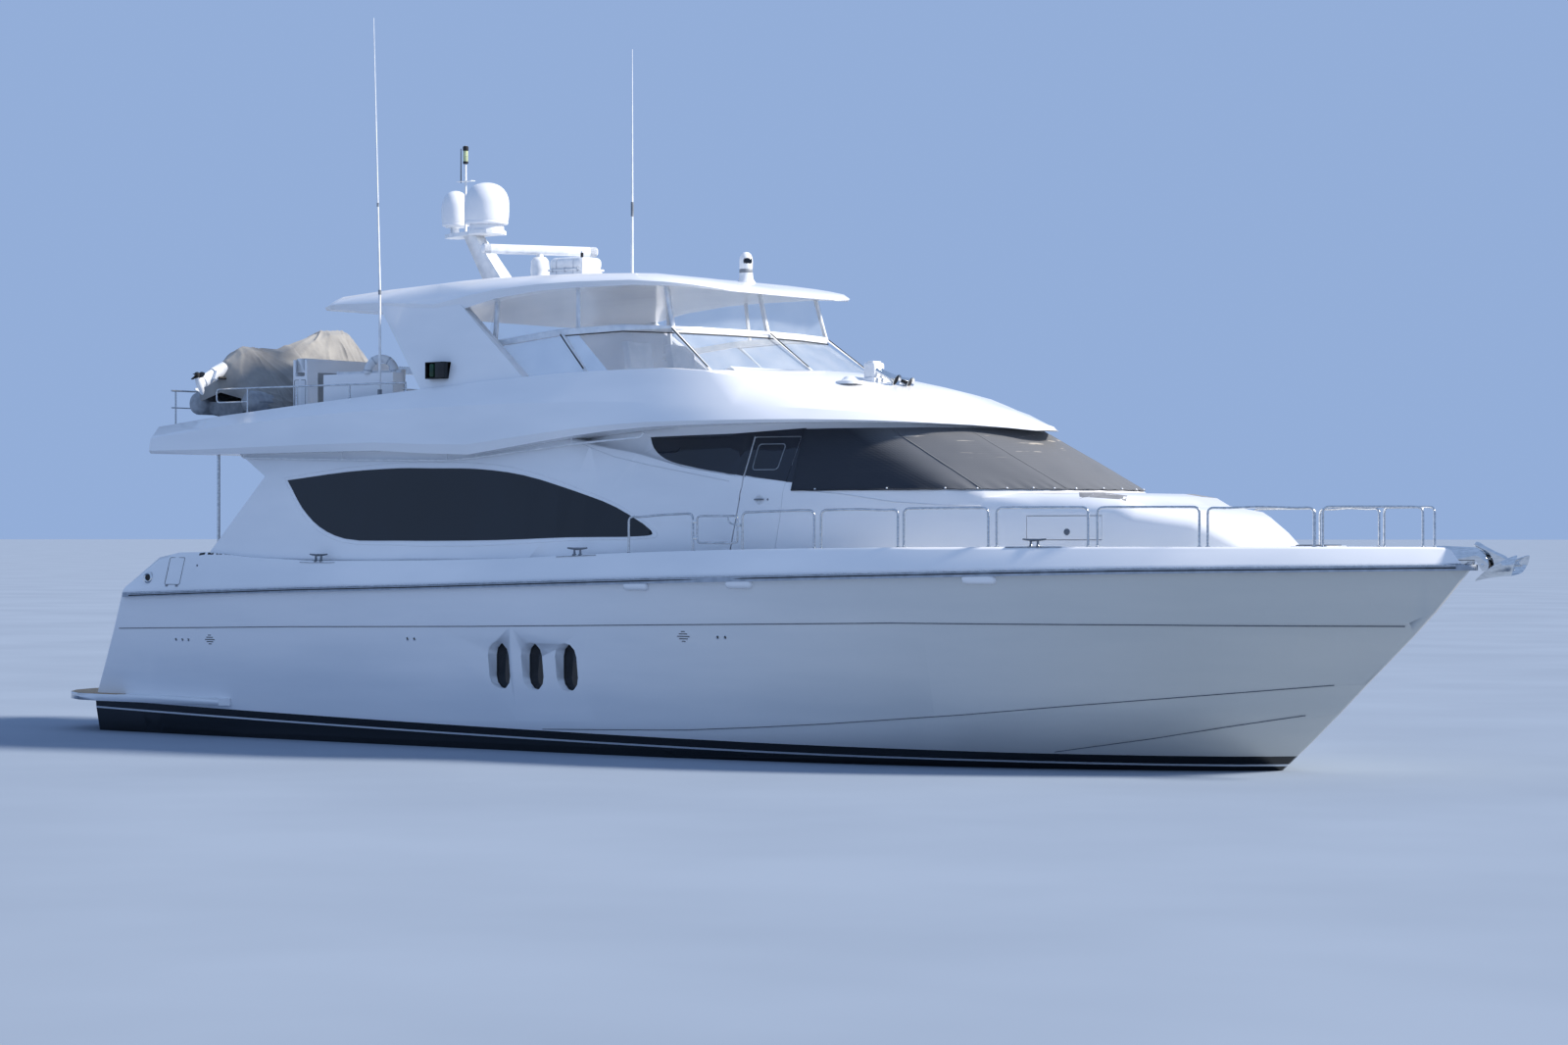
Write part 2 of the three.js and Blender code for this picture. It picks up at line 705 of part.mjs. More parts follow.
const flySkin = loft(
  flyStations.map((x) =>
    ringAt(x, [
      [flyLines.lowY(x) * 0.985, flyLines.lowZ(x)],
      [flyLines.lowY(x), flyLines.lowZ(x) * 0.8 + flyLines.creaseZ(x) * 0.2],
      [flyLines.creaseY(x), flyLines.creaseZ(x)],
      [flyLines.topY(x), flyLines.topZ(x)],
      [flyLines.topY(x) * 0.6, flyLines.topZ(x) * 0.32 + flyLines.crownZ(x) * 0.68],
      [flyLines.topY(x) * 0.15, flyLines.crownZ(x)],
    ]),
  ),
);
const flyWellY = through([
  [-9120, 2560],
  [-4800, 2450],
  [-3000, 2220],
  [600, 2150],
  [1600, 1850],
]);
const flyWell = loft(
  [-9120, -7000, -4800, -3800, -3000, -1000, 600, 1100, 1600].map((x) =>
    ringAt(x, [
      [flyWellY(x), flyFloor],
      [flyWellY(x), 7000],
    ]),
  ),
);

const underHouse = join([1, 3].map((k) => hullSkin.translate([0, 0, k * seatGap]))).add(
  mouldingSkin.translate([0, 0, seatGap]),
);
const house = houseSkin
  .intersect(houseOutline)
  .subtract(houseRooms)
  .subtract(aftSpace)
  .subtract(flySkin.translate([0, 0, -seatGap]))
  .subtract(box(-9500, 10500, -4000, 4000, 4760, 6000))
  .subtract(underHouse.subtract(aboveDeck))
  .subtract(both(join([sideWindow, upperWindow, doorOutline, lockerOutline].map(cutThrough))))
  .subtract(both(houseSkin.translate([0, paneSink + 46, 0]).intersect(cutThrough(inset(doorOutline, -42)))))
  .subtract(screenOpening)
  .subtract(saloonDoorway);
add("deckhouse", main(house), "gelcoat");

const pane = (outline, skin) => main(shell(skin, paneSink, 30).intersect(cutThrough(inset(outline, 0.4))));
const saloonPane = pane(sideWindow, saloonSkin);
const upperPane = pane(upperWindow, houseSkin);
const leafOutline = [
  [2040 + 18, 2620 + 18],
  [2780 - runningGap, 2620 + 18],
  [3020 - runningGap, 4500 - runningGap],
  [2280 + 16, 4500 - runningGap],
];
const onDoorHinge = (z) => [2773, -2433, 2628].map((v, k) => v + (([238, 360, 1864][k] * (z - 2628)) / 1864));
const sideDoor = main(shell(houseSkin, paneSink, 42).intersect(cutThrough(leafOutline)))
  .add(rod(onDoorHinge(2621.5), onDoorHinge(2720), 5, 8))
  .add(rod(onDoorHinge(4420), onDoorHinge(4498.5), 5, 8));
const onLidHinge = (x) => [x, -1748 + (x - 6500) * 0.1932, 3376];
const lockerLid = main(shell(houseSkin, 2, 28).intersect(cutThrough(inset(lockerOutline, runningGap)))).add(
  rod(onLidHinge(6501.1), onLidHinge(7558.9), 4, 8),
);
for (const [side, turn] of Object.entries(sides)) {
  add(`saloon_window_${side}`, turn(saloonPane), "darkGlass");
  add(`pilothouse_window_${side}`, turn(upperPane), "darkGlass");
  add(`side_door_${side}`, turn(sideDoor), "gelcoat");
  add(`locker_lid_${side}`, turn(lockerLid), "gelcoat");
}
const screenRegion = (gap, aft) =>
  box(aft, 9000, -3000, 3000, screenBand.low + gap, screenBand.high - gap);
const screenShell = (near, far) => pilothouseLoft(near, -500).subtract(pilothouseLoft(far, -600));
const windscreen = screenShell(paneSink, paneSink + 24).intersect(screenRegion(0.4, screenBand.aft + 0.4));
add("windscreen", main(windscreen), "darkGlass");
const coverRegion = box(3060, 9000, -3000, 3000, sillZ + 10, browZ + 30);
const cover = screenShell(-9, -0.6)
  .intersect(coverRegion)
  .subtract(houseSkin)
  .subtract(saloonSkin.add(coachroofSkin).translate([0, 0, seatGap]));
add("windscreen_cover", main(cover), "mesh");
add("flybridge", main(flySkin.subtract(flyWell)), "gelcoat");

const doorLeafFoot = deckZ(aftBulkhead) + seatGap;
const doorLeafAft = aftBulkhead + wallThick + 10;
const doorLeaf = box(doorLeafAft, doorLeafAft + 45, -895, 20, doorLeafFoot, 4140);
add("saloon_door", doorLeaf, "darkGlass");
const doorPane = box(aftBulkhead + 20, aftBulkhead + 60, 0.5, 899.5, 2120.4, 4149.6);
add("saloon_door_pane", doorPane, "darkGlass");

// Transom gates.
const gateHinge = [cockpitAft + 88, -stairInner - 35];
const gate = box(cockpitAft + 70, cockpitAft + 105, -stairOuter + 30, -stairInner - 20, 2075, 2760).add(
  rod([...gateHinge, deckZ(cockpitAft) + seatGap], [...gateHinge, 2100], 14, 8),
);
for (const [side, turn] of Object.entries(sides)) add(`transom_gate_${side}`, turn(gate), "gelcoat");

// Overhang poles.
const pole = rod([-8100, -2530, deckZ(-8100) + seatGap], [-8100, -2530, 4600], 26, 12);
const poleClear = pole.subtract(flySkin.translate([0, 0, -seatGap]));
for (const [side, turn] of Object.entries(sides)) {
  add(`overhang_pole_${side}`, turn(main(poleClear)), "steel");
}

// Hardtop on two raked arch legs.
const topLines = columns(
  ["halfY", "lowZ", "topZ"],
  [
    [-6680, 1500, 6650, 6700],
    [-6500, 1800, 6640, 6745],
    [-6200, 2020, 6625, 6800],
    [-5900, 2170, 6605, 6840],
    [-4820, 2280, 6530, 6915],
    [-4200, 2300, 6450, 6955],
    [-3740, 2300, 6390, 6980],
    [-3080, 2300, 6530, 7000],
    [-2530, 2300, 6640, 6990],
    [-1710, 2280, 6700, 6970],
    [-1030, 2250, 6690, 6930],
    [0, 2200, 6650, 6850],
    [540, 2120, 6620, 6770],
    [900, 1950, 6590, 6700],
    [1100, 1650, 6560, 6640],
    [1200, 1200, 6540, 6590],
  ],
);
const topStations = [-6680, -6500, -6200, -5900, -4820, -4200, -3740, -3080, -2530, -1710, -1030, 0];
topStations.push(540, 900, 1100, 1200);
const hardtop = loft(
  topStations.map((x) => {
    const [y, low, high] = [topLines.halfY(x), topLines.lowZ(x), topLines.topZ(x)];
    return ringAt(x, [
      [y - 40, low],
      [y, low + (high - low) * 0.35],
      [y - 160, high - (high - low) * 0.12],
      [y - 600, high],
    ]);
  }),
);
add("hardtop", hardtop, "gelcoat");
const quad = (x0, x1, y0, y1, z) => [
  [x0, y0, z],
  [x1, y0, z],
  [x1, y1, z],
  [x0, y1, z],
];
const leg = loft([quad(-3670, -1450, -2590, -2420, 5200), quad(-4890, -3280, -2270, -2110, 6620)]);
const legClear = leg.subtract(flySkin.translate([0, 0, seatGap]));
const archLeg = main(legClear.subtract(hardtop.translate([0, 0, -seatGap])));
for (const [side, turn] of Object.entries(sides)) add(`arch_leg_${side}`, turn(archLeg), "gelcoat");

// Flybridge windscreen: glass below, a white frame round and above it.
const glassFoot = [
  [-1900, -2330, 5380],
  [-650, -2300, 5400],
  [520, -2250, 5430],
  [1400, -2080, 5430],
  [1650, -1000, 5440],
  [1730, 0, 5440],
];
const glassHead = [
  [-2860, -2100, 5915],
  [-1400, -2080, 6060],
  [-300, -2010, 6095],
  [500, -1880, 6050],
  [760, -900, 6045],
  [830, 0, 6045],
];
const mirrorPath = (path) => [...path, ...path.slice(0, -1).reverse().map(([x, y, z]) => [x, -y, z])];
// A sheet between two paths, with its outer face out from them by near and its inner face by far.
function ribbon(foot, head, near, far) {
  const outward = (path, i, by) => {
    const [a, b] = [path[Math.max(0, i - 1)], path[Math.min(path.length - 1, i + 1)]];
    const away = new THREE.Vector2(b[1] - a[1], a[0] - b[0]).normalize().multiplyScalar(by);
    return [path[i][0] + away.x, path[i][1] + away.y, path[i][2]];
  };
  return loft(
    foot.map((_, i) => [
      outward(foot, i, near),
      outward(head, i, near),
      outward(head, i, far),
      outward(foot, i, far),
    ]),
  );
}
const raise = (path, by) => path.map(([x, y, z]) => [x, y, z + by]);
const between = (a, b, t) => a.map((v, k) => v + (b[k] - v) * t);
const footPath = mirrorPath(glassFoot);
const headPath = mirrorPath(glassHead);
const flyGlass = ribbon(footPath, headPath, 0, -14).subtract(flySkin.translate([0, 0, seatGap]));
add("flybridge_windscreen", main(flyGlass), "darkGlass");
const midRail = ribbon(raise(headPath, seatGap), raise(headPath, 90), 30, -30);
const mullionAt = [0, 1, 3, 5, 7, 9, 10];
const mullions = mullionAt.map((i) => {
  const out = (p, q) => {
    const [ax, ay] = [q[0] - p[0], q[1] - p[1]];
    const length = Math.hypot(ax, ay);
    return [ay / length, -ax / length];
  };
  const k = Math.min(i, footPath.length - 2);
  const [ox, oy] = out(footPath[k], footPath[k + 1]);
  const low = footPath[i];
  const high = headPath[i];
  const foot = [low[0] + ox * 22, low[1] + oy * 22, low[2]];
  const head = [high[0] + ox * 16, high[1] + oy * 16, high[2] + 60];
  return bar(foot, head, 50, 18);
});
const nudges = [
  [0, 0, 0],
  [1, 0, 0],
  [-1, 0, 0],
  [0, 1, 0],
  [0, -1, 0],
];
const glassRoom = join(nudges.map((by) => flyGlass.translate(by)));
const postFoot = [
  [-2700, -2085, 5960],
  [-1100, -2060, 6100],
  [520, -1860, 6100],
  [820, 0, 6090],
];
const postHead = [
  [-2700, -2020, 6720],
  [-1150, -2000, 6760],
  [330, -1800, 6700],
  [640, 0, 6680],
];
const posts = postFoot.map((foot, i) => bar(foot, postHead[i], 60, 45));
const flyFrame = join([midRail, ...mullions, ...posts, ...posts.slice(0, 3).map(mirrored)])
  .subtract(flySkin.translate([0, 0, seatGap]))
  .subtract(hardtop.translate([0, 0, -seatGap]))
  .subtract(glassRoom);
add("flybridge_frame", main(flyFrame), "gelcoat");

const consoleSide = [
  [650, flyFloor + seatGap],
  [1450, flyFloor + seatGap],
  [1450, 5380],
  [1200, 5560],
  [860, 5380],
  [700, 5250],
];
add("helm_console", plate(consoleSide, -1400, 200), "gelcoat");
const setteeParts = [
  box(-6040, -4580, -2300, -1500, flyFloor + seatGap, 5250),
  box(-6040, -4580, -2300, -2080, flyFloor + seatGap, 5600),
];
add("flybridge_settee", join(setteeParts), "gelcoat");

// Mast, domes, radar, life raft and camera on the hardtop.
const pylon = loft([quad(-4480, -4030, -160, 160, 6800), quad(-5140, -4900, -110, 110, 7860)]);
const largeAt = [-4600, -150];
const smallAt = [-5530, 150];
const scannerAt = [-3630, 0];
const mastTop = slab(
  [
    [-5680, 60],
    [-5640, 300],
    [-5400, 320],
    [-5100, 200],
    [-4450, 140],
    [-4450, -200],
    [-5100, -200],
    [-5500, -60],
  ],
  7840,
  7900,
);
const mastPad = ([x, y], r) => turned([[0, 7840], [r, 7840], [r, 7900], [0, 7900]], x, y, 18);
const mastPads = [mastPad(largeAt, 290), mastPad(smallAt, 150)];
const plinth = loft([quad(-4300, -3300, -190, 190, 6800), quad(-4300, -3380, -150, 150, 7090)]);
const pedestalProfile = [[0, 6900], [150, 6900], [150, 7250], [140, 7380], [100, 7440], [0, 7440]];
const pedestal = turned(pedestalProfile, ...scannerAt, 12);
const lightMast = rod([-5180, 0, 7880], [-5180, 0, 9280], 22, 8, 14);
const mast = join([pylon, mastTop, ...mastPads, plinth, pedestal, lightMast]).subtract(
  hardtop.translate([0, 0, seatGap]),
);
add("mast", main(mast), "gelcoat");
const dome = (radius, foot, base, height) => [
  [0, 7900 + seatGap],
  [foot, 7900 + seatGap],
  [foot, base],
  [radius * 0.8, base],
  [radius * 0.96, base + height * 0.25],
  [radius, base + height * 0.45],
  [radius * 0.9, base + height * 0.72],
  [radius * 0.6, base + height * 0.92],
  [radius * 0.25, base + height * 0.99],
  [0, base + height],
];
add("dome_large", turned(dome(328, 250, 7920, 735), ...largeAt, 18), "gelcoat");
add("dome_small", turned(dome(190, 60, 8020, 590), ...smallAt, 16), "gelcoat");
const raft = plate(
  [
    [-3250, 6900],
    [-2550, 6900],
    [-2550, 7290],
    [-2630, 7380],
    [-2750, 7400],
    [-3050, 7400],
    [-3170, 7380],
    [-3250, 7290],
  ],
  -270,
  270,
);
add("liferaft", main(raft.subtract(hardtop.translate([0, 0, seatGap]))), "gelcoat");
const scannerTurn = -31;
const scanner = box(-70, 70, -945, 945, 7490, 7610)
  .rotate([0, 0, scannerTurn])
  .translate([...scannerAt, 0])
  .add(turned([[0, 7440 + seatGap], [60, 7440 + seatGap], [60, 7500], [0, 7500]], ...scannerAt, 10));
add("radar_scanner", scanner, "gelcoat");
const cameraProfile = [[0, 6700], [150, 6700], [120, 6950], [110, 7220], [70, 7330], [0, 7330]];
const camera = turned(cameraProfile, 410, 0, 12);
add("thermal_camera", main(camera.subtract(hardtop.translate([0, 0, seatGap]))), "gelcoat");
const whipAft = rod([-4660, -2500, 5150], [-4660, -2500, 6800], 24, 8, 20).add(
  rod([-4660, -2500, 6790], [-4790, -2500, 10970], 14, 6, 5),
);
add("whip_aft", main(whipAft.subtract(flySkin.translate([0, 0, seatGap]))), "gelcoat");
const whipFore = rod([-540, -1500, 6850], [-540, -1500, 10250], 20, 6, 5);
add("whip_fore", main(whipFore.subtract(hardtop.translate([0, 0, seatGap]))), "gelcoat");

// Side rails: low hoops along the cap, with a gate in each side.
const hoops = [
  [590, 1740],
  [2600, 3790],
  [3900, 5090],
  [5180, 6380],
  [6490, 7690],
  [7810, 9050],
  [9150, 10370],
  [10470, 11550],
];
const railY = (x) => -(Math.max(stemHalf, hullLines.sheerY(x)) - 250);
const railHigh = 520;
const tubeRadius = 15;
const onCap = (x, up) => [x, Math.min(-120, railY(x)), capZ(x) + up];
const capPlate = (x0, x1, parts) =>
  Array.from({ length: parts }, (_, i) => {
    const [a, b] = [i, i + 1].map((k) => x0 + ((x1 - x0) * k) / parts);
    return bar(onCap(a - 4, 3), onCap(b + 4, 3), 44, 12);
  });
const hoop = ([x0, x1]) => {
  const middle = (x0 + x1) / 2;
  return [
    rod(onCap(x0, -20), onCap(x0, railHigh), tubeRadius, 6),
    rod(onCap(x1, -20), onCap(x1, railHigh), tubeRadius, 6),
    rod(onCap(x0, railHigh), onCap(middle, railHigh), tubeRadius, 6),
    rod(onCap(middle, railHigh), onCap(x1, railHigh), tubeRadius, 6),
  ];
};
const links = hoops.slice(1).map(([x], i) => [hoops[i][1] - 30, x + 30]);
const sideRail = join([
  ...hoops.flatMap(hoop),
  ...links.flatMap(([x0, x1]) => capPlate(x0, x1, x1 - x0 > 400 ? 3 : 1)),
]).subtract(mouldingSkin.translate([0, 0, seatGap]));
const railGate = join([
  rod([...onCap(1790, 0).slice(0, 2), capZ(1805) + 9.5], onCap(1790, railHigh), tubeRadius, 8),
  rod(onCap(2540, 60), onCap(2540, railHigh), tubeRadius, 8),
  rod(onCap(1790, railHigh), onCap(2540, railHigh), tubeRadius, 8),
  rod(onCap(1790, 75), onCap(2540, 75), tubeRadius, 8),
]);
for (const [side, turn] of Object.entries(sides)) {
  add(`side_rail_${side}`, turn(main(sideRail)), "steel");
  add(`rail_gate_${side}`, turn(railGate), "steel");
}

// Rail round the boat deck.
const deckRailPosts = [-8080, -7400, -6330, -5200, -4040];
const deckRailY = 2590;
const aftRailX = -9010;
const onCoaming = (x) => [x, -deckRailY, flyLines.topZ(x) + 6];
const deckRail = join([
  ...deckRailPosts.map((x) => rod([x, -deckRailY, 4700], [x, -deckRailY, 5420], 16, 6)),
  rod([-8080, -deckRailY, 5420], [-4040, -deckRailY, 5420], 16, 6),
  rod([-8080, -deckRailY, 5210], [-7400, -deckRailY, 5210], 10, 6),
  bar(onCoaming(aftRailX), onCoaming(-8050), 40, 12),
]);
const aftRail = join([
  rod([aftRailX, -deckRailY - 90, 5420], [aftRailX, deckRailY + 90, 5420], 16, 6),
  rod([aftRailX, -deckRailY - 90, 5150], [aftRailX, deckRailY + 90, 5150], 10, 6),
  ...[-deckRailY, 0, deckRailY].map((y) => rod([aftRailX, y, 4700], [aftRailX, y, 5420], 16, 6)),
]);
const coaming = flySkin.subtract(flyWell.translate([0, 0, 0.001])).translate([0, 0, seatGap]);
const wholeDeckRail = both(deckRail).add(aftRail).subtract(coaming);
add("boat_deck_rail", main(wholeDeckRail), "steel");

// Davit: column and boom across the boat deck.
const davit = { x: -6970, y: -1750, pivotZ: 5780 };
const column = join([
  turned(
    [[0, 4800 + seatGap], [200, 4800 + seatGap], [200, 4840], [130, 4860], [130, 5620], [0, 5620]],
    davit.x,
    davit.y,
    12,
  ),
  box(davit.x - 150, davit.x - 100, davit.y - 120, davit.y + 120, 5520, 5880),
  box(davit.x + 100, davit.x + 150, davit.y - 120, davit.y + 120, 5520, 5880),
  box(davit.x - 150, davit.x + 150, davit.y - 120, davit.y + 120, 4950, 5620),
]);
add("davit_column", column, "gelcoat");
const boomOuter = loft(
  [
    [-100, 5680, 5900],
    [1800, 5710, 5890],
  ].map(([y, low, high]) => [
    [davit.x - 90, davit.y + y, low],
    [davit.x + 90, davit.y + y, low],
    [davit.x + 90, davit.y + y, high],
    [davit.x - 90, davit.y + y, high],
  ]),
);
const innerHalf = 60;
const boreHalf = innerHalf + seatGap;
const boreMid = 5800;
const boomBore = box(
  davit.x - boreHalf,
  davit.x + boreHalf,
  davit.y + 600,
  davit.y + 1900,
  boreMid - boreHalf,
  boreMid + boreHalf,
);
const boomPin = rod(
  [davit.x - 100 + seatGap, davit.y, davit.pivotZ],
  [davit.x + 100 - seatGap, davit.y, davit.pivotZ],
  34,
  12,
);
add("davit_boom", boomOuter.subtract(boomBore).add(boomPin), "gelcoat");
const boomInner = box(
  davit.x - innerHalf,
  davit.x + innerHalf,
  davit.y + 650,
  davit.y + 3100,
  boreMid - innerHalf,
  boreMid + innerHalf,
).add(box(davit.x - 40, davit.x + 40, davit.y + 3040, davit.y + 3180, 5660, boreMid + innerHalf));
add("davit_extension", boomInner, "steel");

// Tender stowed across the boat deck with its outboard to starboard.
const tenderX = -8150;
const tenderLines = columns(
  ["keelZ", "half", "tubeZ", "ridgeZ"],
  [
    [-2500, 5010, 620, 5230, 5720],
    [-2330, 4990, 780, 5220, 5900],
    [-1970, 4960, 815, 5220, 6170],
    [-1210, 4950, 820, 5225, 6150],
    [-170, 4950, 820, 5235, 6490],
    [290, 4950, 820, 5240, 6515],
    [470, 4960, 815, 5245, 6360],
    [750, 4985, 780, 5260, 6080],
    [1100, 5040, 660, 5300, 5780],
    [1400, 5130, 400, 5340, 5600],
    [1600, 5240, 130, 5370, 5480],
  ],
);
const tenderStations = [-2500, -2330, -1970, -1600, -1210, -700, -170, 290, 470, 750, 1100, 1400, 1600];
const tender = loft(
  tenderStations.map((y) => {
    const [keelZ, half, tubeZ, ridge] = ["keelZ", "half", "tubeZ", "ridgeZ"].map((n) => tenderLines[n](y));
    const side = [
      [0, keelZ],
      [half * 0.55, keelZ + (tubeZ - keelZ) * 0.35],
      [half * 0.8, tubeZ - 150],
      [half, tubeZ],
      [half * 0.9, tubeZ + 150],
      [half * 0.6, tubeZ + 150 + (ridge - tubeZ - 150) * 0.45],
      [half * 0.2, ridge - (ridge - tubeZ) * 0.06],
      [0, ridge],
    ];
    const near = side.map(([dx, z]) => [tenderX + dx, y, z]);
    const far = side.slice(1, -1).map(([dx, z]) => [tenderX - dx, y, z]).reverse();
    return [...near, ...far];
  }),
);
const chocks = join(
  [-1500, 500].map((y) => box(tenderX - 520, tenderX + 520, y - 45, y + 45, flyFloor + seatGap, 5150)),
);
add("tender", tender.add(chocks), "canvas");
const outboard = join([
  bar([tenderX, -2300, 5790], [tenderX, -2700, 5590], 150, 200),
  bar([tenderX, -2680, 5610], [tenderX, -3000, 5420], 70, 150),
  rod([tenderX, -2830, 5340], [tenderX, -2960, 5590], 55, 10, 40),
  rod([tenderX, -2960, 5590], [tenderX, -2985, 5640], 130, 12),
]);
add("tender_outboard", main(outboard.subtract(tender.translate([0, -0.4, 0]).add(tender))), "gelcoat");

// Underwater gear: shafts, struts, propellers and rudders.
const shaft = { y: 1250, slope: 0.16, x: -8460, z: -1060 };
const lowestHull = (x, y, r) =>
  hullSkin.intersect(rod([x, y, -3000], [x, y, 1000], r, 24)).boundingBox().min[2];
const onShaft = (x, side) => [x, side * shaft.y, shaft.z + (x - shaft.x) * shaft.slope];
const hubHalf = 95;
const barrelAft = shaft.x + (hubHalf + seatGap) / Math.hypot(1, shaft.slope);
const shaftGear = join([
  rod(onShaft(barrelAft + 10, -1), onShaft(-4800, -1), 38, 10),
  rod(onShaft(barrelAft, -1), onShaft(-8040, -1), 75, 12),
  bar([-8190, -shaft.y, -1010], [-8190, -shaft.y, -300], 60, 190),
]).subtract(hullSkin.translate([0, 0, -seatGap]));
const hub = rod([-hubHalf, 0, 0], [hubHalf, 0, 0], 80, 12, 88);
const blade = solid(new THREE.SphereGeometry(1, 10, 6).scale(130, 9, 195).rotateZ(0.6).translate(0, 0, 235));
const blades = Array.from({ length: 4 }, (_, i) => blade.rotate([i * 90 + 20, 0, 0]));
const tilt = (Math.atan(shaft.slope) * 180) / Math.PI;
const propeller = join([hub, ...blades]).rotate([0, -tilt, 0]).translate([shaft.x, -shaft.y, shaft.z]);
const rudder = { x: -9420, y: 1250, low: -1480, chord: 640 };
const rudderTop = lowestHull(rudder.x, rudder.y, 340) - 25;
const stockTop = lowestHull(rudder.x, rudder.y, 43) - seatGap;
const rudderBlade = join([
  slab(
    [
      [rudder.x + 200, -rudder.y - 26],
      [rudder.x + 235, -rudder.y],
      [rudder.x + 200, -rudder.y + 26],
      [rudder.x - 20, -rudder.y + 36],
      [rudder.x - 405, -rudder.y + 6],
      [rudder.x - 405, -rudder.y - 6],
      [rudder.x - 20, -rudder.y - 36],
    ],
    rudder.low,
    rudderTop,
  ),
  rod([rudder.x, -rudder.y, rudder.low + 60], [rudder.x, -rudder.y, stockTop], 42, 12),
]);
for (const [side, turn] of Object.entries(sides)) {
  add(`shaft_${side}`, turn(main(shaftGear)), "bronze");
  add(`propeller_${side}`, turn(propeller), "bronze");
  add(`rudder_${side}`, turn(rudderBlade), "bronze");
}

// Anchor on its bow roller, and the windlass.
const rollerSide = [
  [11700, 2990],
  [12750, 2990],
  [12900, 2900],
  [12900, 2840],
  [12700, 2800],
  [12100, 2600],
  [11700, 2800],
];
const anchorSide = [
  [12500, 2890],
  [12980, 2970],
  [13040, 2900],
  [12900, 2600],
  [12500, 2450],
  [12420, 2520],
  [12700, 2700],
  [12760, 2850],
];
const bowShape = join([mouldingSkin, hullGrown, rubBand]);
const bowRoom = join([bowShape.scale([1.0001, 1.002, 1]), bowShape.translate([0, 0, seatGap])]);
const bowRoller = plate(rollerSide, -75, 75)
  .add(plate(anchorSide, -40, 40))
  .add(plate([[12420, 2520], [12500, 2450], [12900, 2600], [12780, 2720]], -230, 230))
  .subtract(bowRoom)
  .subtract(bowRoom.translate([0, 0, seatGap]));
add("anchor_roller", main(bowRoller), "steel");
const windlassX = 10900;
const windlassFoot = deckZ(windlassX) - 40;
const windlass = turned(
  [
    [0, windlassFoot],
    [150, windlassFoot],
    [150, windlassFoot + 90],
    [70, windlassFoot + 120],
    [60, windlassFoot + 220],
    [110, windlassFoot + 290],
    [110, windlassFoot + 320],
    [0, windlassFoot + 330],
  ],
  windlassX,
  0,
  14,
);
add("windlass", main(windlass.subtract(mainDeck.translate([0, 0, seatGap]))), "steel");

export default yacht;
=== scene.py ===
# Motor yacht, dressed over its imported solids. Metres, +X to the bow, +Y to port, water at z = 0.
import json
import math
import bpy
import bmesh
import numpy
from mathutils import Matrix, Vector, noise
from mathutils.bvhtree import BVHTree

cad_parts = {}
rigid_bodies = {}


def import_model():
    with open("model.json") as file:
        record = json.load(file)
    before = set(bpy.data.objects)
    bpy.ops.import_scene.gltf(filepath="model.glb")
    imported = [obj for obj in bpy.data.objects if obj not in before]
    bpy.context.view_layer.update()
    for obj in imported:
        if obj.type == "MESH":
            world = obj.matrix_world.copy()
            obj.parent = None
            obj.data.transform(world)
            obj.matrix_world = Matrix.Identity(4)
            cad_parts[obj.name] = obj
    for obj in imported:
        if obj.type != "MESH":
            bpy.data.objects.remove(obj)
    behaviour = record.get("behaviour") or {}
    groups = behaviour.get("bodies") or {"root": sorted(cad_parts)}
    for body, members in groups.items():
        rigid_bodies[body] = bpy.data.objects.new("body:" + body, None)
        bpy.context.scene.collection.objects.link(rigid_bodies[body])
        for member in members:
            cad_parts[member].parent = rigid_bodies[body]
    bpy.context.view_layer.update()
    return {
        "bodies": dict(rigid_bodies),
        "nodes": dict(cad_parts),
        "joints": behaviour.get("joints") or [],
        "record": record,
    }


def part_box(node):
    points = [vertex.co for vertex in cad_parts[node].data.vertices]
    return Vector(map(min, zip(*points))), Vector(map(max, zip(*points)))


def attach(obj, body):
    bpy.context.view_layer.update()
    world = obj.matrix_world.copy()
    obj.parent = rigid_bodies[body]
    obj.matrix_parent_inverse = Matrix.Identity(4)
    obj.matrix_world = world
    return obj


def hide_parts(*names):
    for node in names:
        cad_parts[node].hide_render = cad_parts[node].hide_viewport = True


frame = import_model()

nodes = frame["nodes"]
sides = {"starboard": -1, "port": 1}
print("loaded", len(nodes), "nodes")


# shared tools

def linear(code):
    values = [int(code[i:i + 2], 16) / 255 for i in (1, 3, 5)]
    return [v / 12.92 if v <= 0.04045 else ((v + 0.055) / 1.055) ** 2.4 for v in values] + [1.0]


def addNode(tree, kind, settings=None, links=None):
    made = tree.nodes.new("ShaderNode" + kind)
    for name, value in (settings or {}).items():
        if isinstance(name, int) or name in made.inputs:
            made.inputs[name].default_value = value
        else:
            setattr(made, name, value)
    for name, source in (links or {}).items():
        tree.links.new(source, made.inputs[name])
    return made


def texture(tree, kind, settings, place):
    return addNode(tree, "Tex" + kind, settings, {"Vector": place})


def stretched(tree, place, scale):
    return addNode(tree, "Mapping", {"Scale": scale}, {"Vector": place}).outputs[0]


def ranged(tree, source, low, high):
    # 0 at low, 1 at high
    return addNode(tree, "MapRange", {"From Min": low, "From Max": high}, {"Value": source}).outputs[0]


def deselect():
    if bpy.context.object and bpy.context.object.mode != "OBJECT":
        bpy.ops.object.mode_set(mode="OBJECT")
    bpy.ops.object.select_all(action="DESELECT")


def pick(piece):
    deselect()
    piece.select_set(True)
    bpy.context.view_layer.objects.active = piece


def smooth(piece, angle):
    pick(piece)
    bpy.ops.object.shade_smooth_by_angle(angle=math.radians(angle))


def applyAll(piece):
    pick(piece)
    for modifier in list(piece.modifiers):
        bpy.ops.object.modifier_apply(modifier=modifier.name)


